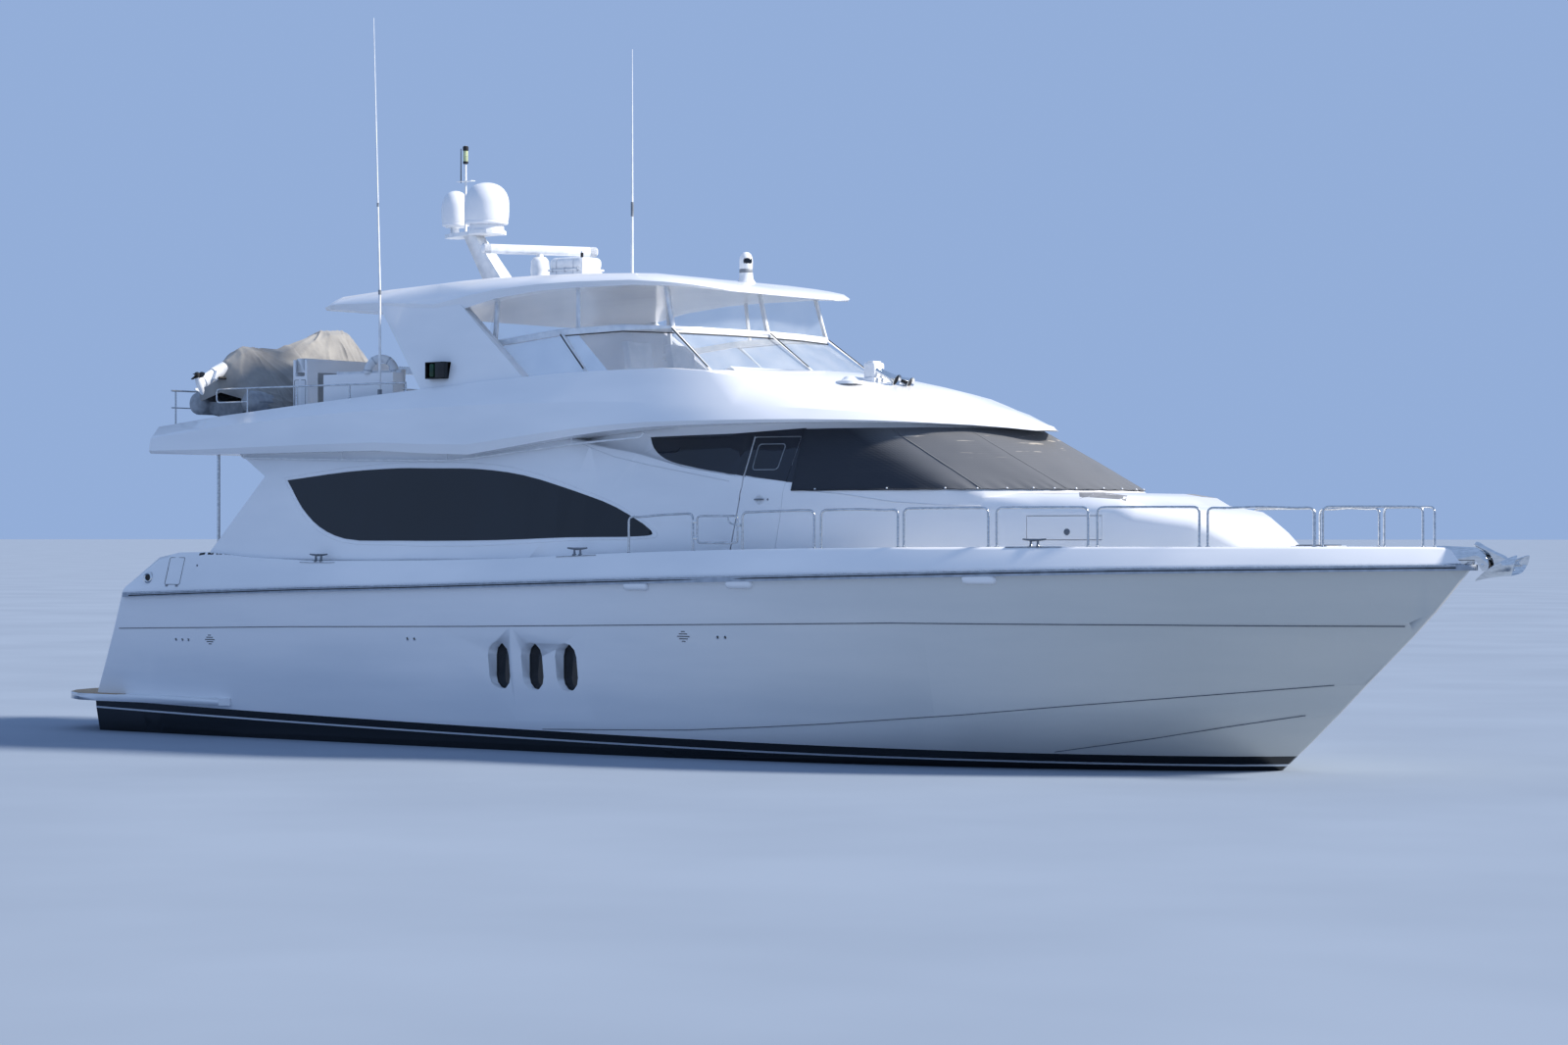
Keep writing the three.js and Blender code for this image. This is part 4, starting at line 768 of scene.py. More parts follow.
def skin(node, finish, angle):
    made = fit(welded([node], node + "_skin"), finish, [node], angle, bodyOf[node])
    if node in springOf["above"]:
        sprung(made, springOf["above"][node])
    modify(made, "WEIGHTED_NORMAL", keep_sharp=True)


for kind, (finish, angle) in skins.items():
    for node in [kind] if kind in nodes else [kind + "_" + name for name in sides]:
        skin(node, finish, angle)
print("solids skinned")


# what the fittings lie on

shell = reader("hull", "hull_topsides", "hull_stern", "deck_moulding")
house = reader("deckhouse", "deck_moulding")
upper = reader("flybridge")


def abeam(side):
    return lambda u, v: (Vector((u, side * 6, v)), Vector((0, -side, 0)))


def above(u, v):
    return Vector((u, v, 12)), Vector((0, 0, -1))


def meet(ground, start, way):
    hit, normal = ground.ray_cast(start, way)[:2]
    if hit is None:
        near = ground.find_nearest(start + way * 3)
        return near[0], -way
    return hit, normal if normal.dot(way) < 0 else -normal


def raised(shape, ground, outline, rings, view):
    # a pad that follows a surface: rings give how far in from the outline and how proud
    reach = [[p[k] for p in outline] for k in (0, 1)]
    middle = [(max(s) + min(s)) / 2 for s in reach]
    half = [(max(s) - min(s)) / 2 for s in reach]
    loops = []
    for inward, lift in rings:
        loop = []
        for point in outline:
            u, v = (middle[k] + (point[k] - middle[k]) * max(0, 1 - inward / half[k]) for k in (0, 1))
            start, way = view(u, v)
            loop.append(shape.verts.new(meet(ground, start, way)[0] - way * lift))
        loops.append(loop)
    for low, high in zip(loops, loops[1:]):
        for k in range(len(low)):
            n = (k + 1) % len(low)
            shape.faces.new((low[k], low[n], high[n], high[k]))
    top = shape.verts.new(sum((v.co for v in loops[-1]), Vector()) / len(loops[-1]))
    for k in range(len(loops[-1])):
        shape.faces.new((loops[-1][k], loops[-1][(k + 1) % len(loops[-1])], top))


def outermost(ground, x, z, side):
    # the widest of several rays, so that gaps and cut edges don't swallow the point
    spots = [ground.ray_cast(Vector((x + dx, side * 6, z + dz)), Vector((0, -side, 0)))[0]
             for dx, dz in ((0, 0), (-0.014, 0), (0.014, 0), (0, -0.014), (0, 0.014))]
    return Vector((x, side * max([abs(p.y) for p in spots if p] or [2.3]), z))


def patch(shape, ground, corners, lift, view, cells=(10, 8), skirt=0.01):
    # a thin panel over a curved surface, its edge turned in
    a, b, c, d = [Vector(p) for p in corners]
    grid = []
    for i in range(-1, cells[0] + 2):
        row = []
        for j in range(-1, cells[1] + 2):
            s, t = min(max(i / cells[0], 0), 1), min(max(j / cells[1], 0), 1)
            p = a * (1 - s) * (1 - t) + b * s * (1 - t) + c * s * t + d * (1 - s) * t
            edge = i in (-1, cells[0] + 1) or j in (-1, cells[1] + 1)
            start, way = view(p.x, p.y)
            spot = meet(ground, start, way)[0] if abs(way.z) > 0.5 else outermost(ground, p.x, p.y, -way.y)
            row.append(shape.verts.new(spot - way * (lift - (skirt if edge else 0))))
        grid.append(row)
    panels(shape, grid)


def onGround(ground, points, view, lift):
    made = []
    for u, v in points:
        start, way = view(u, v)
        made.append(meet(ground, start, way)[0] - way * lift)
    return made


def roundRect(u0, u1, v0, v1, r, steps=5, lean=0.0):
    # lean slides the top edge along by that much
    made = []
    for cu, cv, turn in ((u1 - r, v1 - r, 0), (u0 + r, v1 - r, 90), (u0 + r, v0 + r, 180), (u1 - r, v0 + r, 270)):
        for i in range(steps + 1):
            a = math.radians(turn + 90 * i / steps)
            u, v = cu + r * math.cos(a), cv + r * math.sin(a)
            made.append((u + lean * (v - v0) / (v1 - v0), v))
    return made


def between(points, step=0.15):
    # more points along a polyline
    made = []
    for a, b in zip(points, points[1:]):
        a, b = Vector(a), Vector(b)
        count = max(1, int((b - a).length / step))
        made += [a + (b - a) * i / count for i in range(count)]
    return made + [Vector(points[-1])]


# hull fittings: portlights, outlets, louvres, vents, hawse rings and the moulding lines, which are painted shadow
# under small steps

portlight = {"x": (-1.77, -1.135, -0.49), "z": 1.24, "width": 0.40, "height": 0.70, "rim": 0.016}
knuckle = [(-9.96, 1.65), (-5.9, 1.74), (-2.3, 1.80), (1.5, 1.88), (5.05, 1.95), (8.5, 1.957), (11.3, 1.945)]
chine = [(-1.04, 0.334), (0.17, 0.365), (1.56, 0.406), (2.73, 0.478), (3.84, 0.556), (5.87, 0.727), (7.43, 0.883),
         (8.99, 1.032), (10.35, 1.165)]
sprayRail = [(6.99, 0.246), (8.23, 0.442), (9.43, 0.663), (9.95, 0.76)]
outlets = [(-8.60, 1.50), (-8.45, 1.50), (-8.31, 1.50), (-3.54, 1.60), (-3.40, 1.60), (2.26, 1.72), (2.39, 1.72)]
louvres = [(-7.81, 1.51), (1.67, 1.72)]
slats = [(-0.068, 0.035), (-0.034, 0.075), (0, 0.11), (0.034, 0.075), (0.068, 0.035)]  # height and half width of each
vents = [(0.70, 1.14, 2.415), (2.50, 2.94, 2.455), (6.15, 6.61, 2.543)]
hawse = {"x": -9.23, "z": 2.46, "radius": 0.08, "throat": [(0, 0.003), (0.64, 0.003), (0.64, -0.02)],
         "ring": [(0.62, -0.1), (0.62, 0.012), (0.8, 0.024), (1.05, 0.018), (1.2, 0.0), (1.2, -0.12)]}


def portlights(name, side):
    glass, gasket = bmesh.new(), bmesh.new()
    half, r = portlight["height"] / 2, portlight["width"] / 2 - 0.002
    for x in portlight["x"]:
        back = meet(shell, *abeam(side)(x, portlight["z"]))[0].y + side * 0.006
        ring = []
        for k in range(48):
            a = k * math.tau / 48
            rise = half - portlight["width"] / 2
            ring.append(Vector((x + r * math.cos(a), back,
                                portlight["z"] + math.copysign(rise, math.sin(a)) + r * math.sin(a))))
        sweep(gasket, ring, portlight["rim"], sides=8, closed=True)
        rim = [glass.verts.new(p) for p in ring]
        crown = [glass.verts.new(Vector((x, 0, portlight["z"])) * 0.1 + p * 0.9) for p in ring]
        for v in crown:
            v.co.y = back + side * 0.004
        for k in range(48):
            glass.faces.new((rim[k], rim[(k + 1) % 48], crown[(k + 1) % 48], crown[k]))
        glass.faces.new(crown)
    fitShape(glass, "portlight_glass_" + name, saloonGlass, angle=20)
    fitShape(gasket, "portlight_gaskets_" + name, blackPlastic, angle=60)


def ring(shape, hit, normal, radius, tube):
    # a small flanged ring, fitted round each outlet
    spun(shape, [(radius * 0.55, -0.01), (radius * 0.6, 0.004), (radius * 0.75, tube), (radius, tube * 0.7),
                 (radius * 1.05, 0), (radius, -0.01)],
         hit, normal, sides=20)


def hullFittings(name, side):
    view = abeam(side)
    metal, dark, white, shadowLines = (bmesh.new() for _ in range(4))
    # the black discs in the outlets, the black louvre slots and the black hawse throat are painted shade inside the
    # openings
    for x, z in outlets:
        hit, normal = meet(shell, *view(x, z))
        ring(metal, hit, normal, 0.028, 0.008)
        spun(dark, [(0, 0.0015), (0.018, 0.0015), (0.018, -0.004)], hit, normal, sides=14)
    for x, z in louvres:
        for up, wide in slats:
            frame = roundRect(x - wide - 0.008, x + wide + 0.008, z + up - 0.013, z + up + 0.013, 0.008, 3)
            raised(white, shell, frame, [(0, -0.002), (0.001, 0.004), (0.004, 0.006)], view)
            slot = roundRect(x - wide, x + wide, z + up - 0.007, z + up + 0.007, 0.005, 3)
            raised(dark, shell, slot, [(0, 0.004), (0.0005, 0.0075)], view)
    for x0, x1, z in vents:
        hood = roundRect(x0, x1, z - 0.062, z + 0.062, 0.058, 8)
        raised(white, shell, hood, [(0, -0.003), (0.002, 0.03), (0.02, 0.052), (0.045, 0.058)], view)
    normal = Vector((0.12, side, 0.1)).normalized()
    hit = meet(shell, *view(hawse["x"], hawse["z"]))[0] + normal * 0.03
    spun(metal, [(r * hawse["radius"], h) for r, h in hawse["ring"]], hit, normal, sides=28)
    spun(dark, [(r * hawse["radius"], h) for r, h in hawse["throat"]], hit, normal, sides=20)
    # the dark tubes along the knuckle, chine and spray rail are painted shadow under the small steps of the moulding
    for table, radius in ((knuckle, 0.006), (chine, 0.005), (sprayRail, 0.005)):
        line = []
        for x, z in between(table, 0.12):
            spots = [meet(shell, *view(x, z + dz))[0] for dz in (-0.012, 0, 0.012)]
            line.append(Vector((x, side * (max(abs(p.y) for p in spots) + 0.003), z)))
        sweep(shadowLines, line, radius, sides=6)
    fitShape(metal, "hull_rings_" + name, chrome, angle=50)
    fitShape(dark, "hull_opening_shade_" + name, blackPlastic)
    fitShape(white, "hull_vents_" + name, gelcoat, angle=40)
    fitShape(shadowLines, "moulding_shadow_lines_" + name, seamAndShadowGrey, angle=60)


for name, side in sides.items():
    portlights(name, side)
    hullFittings(name, side)
print("hull fittings made")


# quarter locker, cap slots, cleats, the steel strip of the rub rail and a painted shadow line under the rail

quarterDoor = {"x": (-8.79, -8.43), "z": (2.36, 2.78)}
capSlots = {"x": (-8.05, -7.86, -7.67, -7.48), "y": 2.93, "length": 0.13}
cleats = {"x": (-5.47, -0.30, 7.03), "inboard": 0.14, "length": 0.36, "strip": 0.37,
          "foot": [(0.034, -0.004), (0.03, 0.008), (0.018, 0.02), (0.016, 0.075), (0.02, 0.085)]}
sheer = [(-9.77, 2.21), (-5.82, 2.34), (-3.36, 2.40), (-0.68, 2.48), (1.83, 2.55), (4.28, 2.61), (6.41, 2.66),
         (8.30, 2.70), (10.02, 2.72), (12.0, 2.745)]
beam = reader("rub_rail")
moulding = reader("deck_moulding")


def edgeY(x):
    # half breadth of the deck edge at x
    hit = moulding.ray_cast(Vector((x, -6, along(sheer, x) + 0.12)), Vector((0, 1, 0)))[0]
    return -hit.y if hit else 3.0


def deckEdge(name, side):
    view = abeam(side)
    gapsAndShadow, metal, strip = bmesh.new(), bmesh.new(), bmesh.new()
    door = roundRect(*quarterDoor["x"], *quarterDoor["z"], 0.02, 3)
    sweep(gapsAndShadow, onGround(moulding, door, view, 0.0005), 0.0045, sides=6, closed=True)
    for x in (quarterDoor["x"][0] + 0.06, quarterDoor["x"][1] - 0.06):
        hit, normal = meet(moulding, *view(x, quarterDoor["z"][0] - 0.015))
        block(metal, hit - Vector((0.03, 0.008, 0.02)), hit + Vector((0.03, 0.008, 0.02)), 0.004)
    hit, normal = meet(moulding, *view(-8.1, 2.66))
    spun(metal, [(0, 0.012), (0.014, 0.01), (0.018, 0.0), (0.016, -0.005)], hit, normal, sides=16)
    for x in capSlots["x"]:
        half, y = capSlots["length"] / 2, side * capSlots["y"]
        raised(gapsAndShadow, moulding, roundRect(x - half, x + half, y - 0.008, y + 0.008, 0.007, 3),
               [(0, 0.0), (0.0005, 0.0025)], above)
    for x in cleats["x"]:
        y = side * (edgeY(x) - cleats["inboard"])
        foot = meet(moulding, *above(x, y))[0]
        half = cleats["length"] / 2
        for dx in (-0.055, 0.055):
            spun(metal, cleats["foot"], foot + Vector((dx, 0, 0)), sides=14)
        bar = [foot + Vector((t * half, 0, 0.088 + 0.012 * t * t)) for t in (-1, -0.7, -0.3, 0, 0.3, 0.7, 1)]
        sweep(metal, bar[:4], 0.011, sides=10, endRadius=0.02, across=1.2)
        sweep(metal, bar[3:], 0.02, sides=10, endRadius=0.011, across=1.2)
        spots = [x + cleats["strip"] * t for t in (-1, -0.5, 0, 0.5, 1)]
        edge = [(u, side * (edgeY(u) - 0.115)) for u in spots]
        sweep(strip, onGround(moulding, edge, above, 0.001), 0.006, sides=8, across=3)
    line = []
    for i in range(73):
        x = -9.6 + 0.3 * i
        hit = beam.ray_cast(Vector((x, side * 6, along(sheer, x) - 0.005)), Vector((0, -side, 0)))[0]
        if hit:
            line.append(hit + Vector((0, side * 0.002, 0)))
    sweep(strip, line, 0.009, sides=8)
    # a black line just under the rub rail: painted shadow cast by the rail
    under = [Vector((p.x, p.y - side * 0.004, p.z - 0.034)) for p in line]
    sweep(gapsAndShadow, under, 0.009, sides=8)
    fitShape(gapsAndShadow, "deck_gaps_and_rail_shadow_" + name, blackPlastic)
    fitShape(metal, "cleats_" + name, deckMetal, angle=50)
    fitShape(strip, "rail_strips_" + name, steel, angle=50)


for name, side in sides.items():
    deckEdge(name, side)
print("deck edge made")


# side rails: bent tube hoops with round foot flanges, and the boarding gate between two of them

hoop = {"tube": 0.0165, "corner": 0.085, "drop": 0.016,
        "foot": [(0.0, 0.012), (0.020625, 0.012), (0.0304, 0.006), (0.038, 0.003), (0.038, -0.004)],
        "spans": [(0.59, 1.74), (2.60, 3.79), (3.90, 5.09), (5.18, 6.38), (6.49, 7.69), (7.81, 9.05), (9.15, 10.37),
                  (10.47, 11.55)]}
gate = {"x": (1.815, 2.515), "z": (0.10, 0.475), "corner": 0.06}


def railLine(name):
    # the rail's y and top z along the deck, read off its solid
    rows = {}
    for node in ("side_rail_" + name, "rail_gate_" + name):
        for vert in nodes[node].data.vertices:
            key = round(vert.co.x / 0.08)
            rows.setdefault(key, []).append(vert.co.copy())
    top = {}
    for key, held in rows.items():
        high = max(v.z for v in held)
        if high > along(sheer, key * 0.08) + 0.55:
            near = [v for v in held if v.z > high - 0.05]
            top[key * 0.08] = (sum(v.y for v in near) / len(near), high)
    return [(x, v[0]) for x, v in top.items()], [(x, v[1]) for x, v in top.items()]


def sideRail(name, side):
    lineY, lineZ = railLine(name)
    rails, gatePart, fittings = bmesh.new(), bmesh.new(), bmesh.new()

    def top(x):
        return Vector((x, along(lineY, x), along(lineZ, x) - hoop["drop"]))

    def foot(x):
        hit = plumb(moulding, x, along(lineY, x), 5)
        return hit if hit else top(x) - Vector((0, 0, 0.5))

    for x0, x1 in hoop["spans"]:
        path = [foot(x0)] + [top(x0 + (x1 - x0) * i / 6) for i in range(7)] + [foot(x1)]
        sweep(rails, curveOf(path, hoop["corner"]), hoop["tube"], sides=12)
        for x in (x0, x1):
            spun(rails, hoop["foot"], foot(x), sides=16)
    x0, x1 = gate["x"]
    base = foot((x0 + x1) / 2).z
    z0, z1 = base + gate["z"][0], base + gate["z"][1]
    corners = [Vector(p) for p in ((x0, z1), (x1, z1), (x1, z0), (x0, z0))]
    loop = []
    for i, corner in enumerate(corners):
        before = (corners[i - 1] - corner).normalized() * gate["corner"]
        after = (corners[(i + 1) % 4] - corner).normalized() * gate["corner"]
        for t in range(6):
            spot = corner + before * (1 - t / 5) ** 2 + after * (t / 5) ** 2
            loop.append(Vector((spot.x, along(lineY, spot.x), spot.y)))
    sweep(gatePart, loop, 0.0145, sides=12, closed=True)
    arm = [(x1 - 0.17, along(lineY, x1 - 0.17), z1), (x1 - 0.15, along(lineY, x1), z1 - 0.10),
           (x1, along(lineY, x1), z1 - 0.13)]
    sweep(gatePart, curveOf(arm, 0.06), 0.011, sides=10)
    for z in (z0 + 0.07, z1 - 0.08):
        at = Vector((x0 - 0.03, along(lineY, x0), z))
        block(fittings, at - Vector((0.035, 0.02, 0.022)), at + Vector((0.03, 0.02, 0.022)), 0.006)
    at = Vector((x1 + 0.03, along(lineY, x1), z1 - 0.13))
    block(fittings, at - Vector((0.02, 0.018, 0.02)), at + Vector((0.035, 0.018, 0.02)), 0.006)
    fitShape(rails, "side_hoops_" + name, steel, ["side_rail_" + name], angle=50)
    fitShape(gatePart, "gate_frame_" + name, steel, ["rail_gate_" + name], angle=50,
             body="rail_gate_" + name)
    fitShape(fittings, "gate_hinges_" + name, chrome, angle=40)


for name, side in sides.items():
    sideRail(name, side)
print("side rails bent")


# boat deck rail and overhang handrails

deckRail = {"y": 2.59, "top": 5.42, "mid": 5.21, "posts": (-7.40, -6.33, -5.20, -4.04), "loop": -8.08, "aft": -9.01,
            "aftMid": 5.15}
grabRail = [(-7.34, 4.33), (-5.2, 4.275), (-3.06, 4.24), (-2.48, 4.27), (-0.64, 4.44), (0.65, 4.52)]


def boatDeckRail():
    rails = bmesh.new()

    def foot(x, y):
        hit = plumb(upper, x, y, 5.6)
        return Vector((x, y, hit.z if hit else 4.8))

    def post(x, y, z):
        sweep(rails, [foot(x, y), Vector((x, y, z))], 0.014, sides=12)
        spun(rails, [(0, 0.02), (0.02, 0.018), (0.036, 0.004), (0.036, -0.004)], foot(x, y), sides=14)

    for side in (-1, 1):
        y = side * deckRail["y"]
        for x in deckRail["posts"]:
            post(x, y, deckRail["top"] - 0.012)
        ends = (deckRail["posts"][-1], deckRail["loop"], deckRail["loop"], deckRail["posts"][0])
        levels = (deckRail["top"], deckRail["top"], deckRail["mid"], deckRail["mid"])
        sweep(rails, curveOf([(x, y, z) for x, z in zip(ends, levels)], 0.07), 0.0145, sides=12)
    for y in (-deckRail["y"], 0, deckRail["y"]):
        post(deckRail["aft"], y, deckRail["top"] - 0.012)
    for z, r in ((deckRail["top"], 0.0155), (deckRail["aftMid"], 0.0105)):
        sweep(rails, [Vector((deckRail["aft"], y, z)) for y in (-2.68, -1.3, 0, 1.3, 2.68)], r, sides=12)
    fitShape(rails, "deck_rail_tubes", steel, ["boat_deck_rail"], angle=50)


def grabRails(name, side):
    shape = bmesh.new()
    points = [Vector((x, side * 2.75, z)) for x, z in grabRail]
    ends = [points[0] + Vector((-0.06, 0, 0.10))] + points + [points[-1] + Vector((0.05, 0, 0.06))]
    sweep(shape, curveOf(ends, 0.15), 0.015, sides=10)
    for t in between(grabRail, 1.1)[1:-1]:
        hit = upper.ray_cast(Vector((t[0], side * 2.75, t[1])), Vector((0, 0, 1)))[0]
        if hit and hit.z - t[1] < 0.4:
            sweep(shape, [Vector((t[0], side * 2.75, t[1])), hit + Vector((0, 0, 0.002))], 0.009, sides=8)
    fitShape(shape, "overhang_handrail_" + name, whitePlastic, angle=50)


boatDeckRail()
for name, side in sides.items():
    grabRails(name, side)
print("upper rails made")


# mast head: domes, scanner, lamp, aerials; life raft and thermal camera on the hardtop

roof = treeOf([bpy.data.objects["hardtop_skin"].data])
domeProfile = [
    (0, 0), (0.74, 0.0), (0.74, 0.03), (0.93, 0.035), (0.955, 0.055), (0.955, 0.10), (0.94, 0.105), (0.94, 0.115),
    (0.955, 0.12), (0.985, 0.2), (1.0, 0.34), (1.0, 0.52), (0.985, 0.60), (0.94, 0.69), (0.865, 0.775), (0.76, 0.85),
    (0.63, 0.91), (0.47, 0.955), (0.29, 0.985), (0.12, 0.998), (0, 1.0),
]


domeParts = {
    "large": {"at": (-4.60, -0.15, 7.9005), "radius": 0.352, "height": 0.680, "lift": 0.07, "sides": (48, 56),
              "foot": [(0, 0), (0.27, 0), (0.27, 0.068), (0.2, 0.072), (0, 0.072)]},
    "small": {"at": (-5.53, 0.15, 7.9005), "radius": 0.225, "height": 0.583, "lift": 0.115, "sides": (24, 40),
              "foot": [(0, 0), (0.062, 0), (0.055, 0.10), (0.09, 0.13), (0, 0.13)]},
}


def dome(name, part):
    shape = bmesh.new()
    spun(shape, part["foot"], part["at"], sides=part["sides"][0])
    profile = [(r * part["radius"], part["lift"] + z * part["height"]) for r, z in domeProfile]
    spun(shape, profile, part["at"], sides=part["sides"][1])
    fitShape(shape, "satellite_dome_" + name, domePlastic, ["dome_" + name], 32)


openArray = {"at": (-3.63, 0.0), "turn": -31, "half": (0.072, 0.943), "z": (7.478, 7.626), "round": 0.055,
             "joint": 0.86, "neck": [(0, 7.4405), (0.058, 7.4405), (0.058, 7.47), (0.05, 7.5), (0, 7.5)]}


def scanner():
    # a rounded bar with end caps, on a short turned neck
    x, y = openArray["at"]
    turn = about((x, y, 0), openArray["turn"], "Z")
    (dx, dy), (low, high), edge = openArray["half"], openArray["z"], openArray["round"]
    shape, seams = bmesh.new(), bmesh.new()
    block(shape, (x - dx, y - dy, low), (x + dx, y + dy, high), edge, 6, turn)
    spun(shape, openArray["neck"], (x, y, 0), sides=24)
    proud = 0.0012
    for end in (-1, 1):
        at = y + end * openArray["joint"]
        block(seams, (x - dx - proud, at - 0.003, low - proud), (x + dx + proud, at + 0.003, high + proud), edge, 6,
              turn)
    fitShape(shape, "scanner_bar", whitePlastic, ["radar_scanner"], 40, "radar_scanner")
    fit(lay(seams, "scanner_joints"), strapWeb, angle=40, body="radar_scanner")


mastLamp = {
    "at": (-5.18, 0.0), "plate": (0.16, 0.05, 8.712, 8.722), "rod": (8.70, 9.24),
    "lens": [(0, 9.03), (0.036, 9.03), (0.038, 9.05), (0.038, 9.19), (0.036, 9.2), (0, 9.2)],
    "cap": [(0, 9.2), (0.043, 9.2), (0.045, 9.215), (0.045, 9.262), (0.03, 9.275), (0, 9.279)],
    "foot": [(0, 8.99), (0.03, 8.99), (0.042, 9.0), (0.042, 9.03), (0, 9.03)],
    "band": [(0.038, 9.105), (0.0405, 9.108), (0.0405, 9.122), (0.038, 9.125)],
}
receivers = {  # small aerials: one on the mast, and a mushroom and a stub on the hardtop
    "mast": [(0, 7.8995), (0.016, 7.9), (0.016, 8.02), (0.05, 8.03), (0.055, 8.05), (0.05, 8.085), (0.03, 8.105),
             (0, 8.11)],
    "mushroom": [(0, -0.01), (0.018, -0.01), (0.016, 0.12), (0.045, 0.13), (0.05, 0.16), (0.03, 0.185), (0, 0.19)],
    "stub": [(0, -0.01), (0.035, -0.01), (0.03, 0.03), (0.02, 0.04), (0.02, 0.46), (0, 0.462)],
    "stubBand": [(0.0205, 0.36), (0.0225, 0.362), (0.0225, 0.43), (0.0205, 0.432)],
    "places": {"mast": (-5.63, 0.16, 0), "mushroom": (-5.35, 1.1), "stub": (-2.35, -0.5)},
}


def lampAndReceivers():
    x, y = mastLamp["at"]
    dx, dy, low, high = mastLamp["plate"]
    white, dark, glass = bmesh.new(), bmesh.new(), bmesh.new()
    block(white, (x - dx, y - dy, low), (x + dx, y + dy, high), 0.003)
    for shape, part in ((glass, "lens"), (dark, "cap"), (dark, "foot"), (glass, "band")):
        spun(shape, mastLamp[part], (x, y, 0), sides=24)
    sweep(dark, [(x - 0.10, y, z) for z in mastLamp["rod"]], 0.009, sides=8, endRadius=0.006)
    places = receivers["places"]
    spun(white, receivers["mast"], places["mast"], sides=20)
    spun(white, receivers["mushroom"], plumb(roof, *places["mushroom"], 8), sides=18)
    foot = plumb(roof, *places["stub"], 8)
    spun(white, receivers["stub"], foot, sides=18)
    spun(dark, receivers["stubBand"], foot, sides=18)
    fitShape(white, "mast_fittings", whitePlastic, angle=40)
    fitShape(dark, "mast_lamp_caps", blackPlastic, angle=40)
    fitShape(glass, "mast_lamp_glass", lampGlass, angle=40)


whips = {  # rod: x and radius at its foot, joint and tip; ferrules: x, z, radius and length, the first at the foot
    "aft": {"y": -2.5, "joint": 6.80, "rod": [(-4.66, 0.023), (-4.66, 0.019), (-4.79, 0.005)],
            "ferrules": [(-4.66, 0, 0.034, 0.09), (-4.66, 6.77, 0.024, 0.07), (-4.70, 8.10, 0.0165, 0.06)]},
    "fore": {"y": -1.5, "joint": 7.82, "rod": [(-0.54, 0.021), (-0.54, 0.017), (-0.54, 0.005)],
             "ferrules": [(-0.54, 0, 0.032, 0.07), (-0.54, 7.80, 0.021, 0.21)]},
}


def aerial(name, whip):
    # a whip of glass fibre: a stout lower length, ferrules, and a thin upper length
    shape, bands = bmesh.new(), bmesh.new()
    low, high = (corner[2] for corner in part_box("whip_" + name))
    rod = [(Vector((x, whip["y"], z)), r) for (x, r), z in zip(whip["rod"], (low, whip["joint"], high))]
    for (a, ra), (b, rb) in zip(rod, rod[1:]):
        sweep(shape, [a.lerp(b, i / 6) for i in range(7)], ra, sides=12, endRadius=rb)
    for x, z, radius, length in whip["ferrules"]:
        at = Vector((x, whip["y"], max(z, low)))
        sweep(bands, [at, at + Vector((0, 0, length))], radius, sides=14)
    fitShape(shape, "whip_" + name + "_rod", whitePlastic, ["whip_" + name], 60)
    fit(lay(bands, "whip_ferrules_" + name + "_rod"), greyPlastic, angle=60)


raft = {"tall": 0.46, "joint": 0.52, "inset": 0.012, "lap": 0.012, "rounds": (0.05, 0.085), "lip": 0.016,
        "cradle": 0.06, "straps": 0.18, "clips": 0.10}


def liferaft():
    # a two-part glass fibre canister in a cradle, with lashing straps and clips
    low, high = [Vector(c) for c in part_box("liferaft")]
    canister, trim = bmesh.new(), bmesh.new()
    mid = low.z + (high.z - low.z) * raft["joint"]
    foot = high.z - raft["tall"]
    x0, x1, y0, y1 = low.x + raft["inset"], high.x - raft["inset"], low.y + raft["inset"], high.y - raft["inset"]
    block(canister, (x0, y0, foot), (x1, y1, mid + raft["lap"]), raft["rounds"][0], 4)
    block(canister, (x0, y0, mid - raft["lap"]), (x1, y1, high.z - 0.001), raft["rounds"][1], 5)
    block(canister, (low.x, low.y, mid - raft["lip"]), (high.x, high.y, mid + raft["lip"]), 0.012, 2)
    for y in (low.y + raft["cradle"], high.y - raft["cradle"]):
        block(canister, (low.x + raft["cradle"], y - 0.03, low.z + 0.002),
              (high.x - raft["cradle"], y + 0.03, foot + 0.03), 0.01)
    girth = roundRect(low.y + 0.009, high.y - 0.009, foot - 0.003, high.z - 0.004, raft["rounds"][1])
    for x in (low.x + raft["straps"], high.x - raft["straps"]):
        sweep(trim, [Vector((x, u, v)) for u, v in girth], 0.005, sides=8, closed=True)
    for x in (low.x + raft["clips"], (low.x + high.x) / 2, high.x - raft["clips"]):
        block(trim, (x - 0.012, low.y - 0.003, mid - 0.035), (x + 0.012, low.y + 0.01, mid + 0.03), 0.003)
    fit(lay(canister, "raft_canister"), whitePlastic, ["liferaft"], 40)
    fit(lay(trim, "raft_straps"), strapWeb, angle=40)


thermal = {
    "at": (0.41, 0.0), "aim": (0.83, -0.56, 0.02), "eye": (0.70, 0.078),
    "foot": [(0, 0), (0.148, 0), (0.14, 0.02), (0.105, 0.075), (0.1, 0.16), (0, 0.16)],
    "band": [(0, 0.16), (0.096, 0.16), (0.1, 0.17), (0.1, 0.205), (0.094, 0.215), (0, 0.215)],
    "neck": [(0, 0.215), (0.09, 0.215), (0.098, 0.23)],
    "head": [(0.1, 0.72), (0.094, 0.82), (0.075, 0.92), (0.045, 0.98), (0, 1)],  # heights as shares of the whole
    "window": [(0, 0.024), (0.03, 0.022), (0.05, 0.016), (0.062, 0.004), (0.062, -0.02)],
    "rim": [(0.06, 0.003), (0.066, 0.008), (0.07, 0.0), (0.07, -0.02)],
}


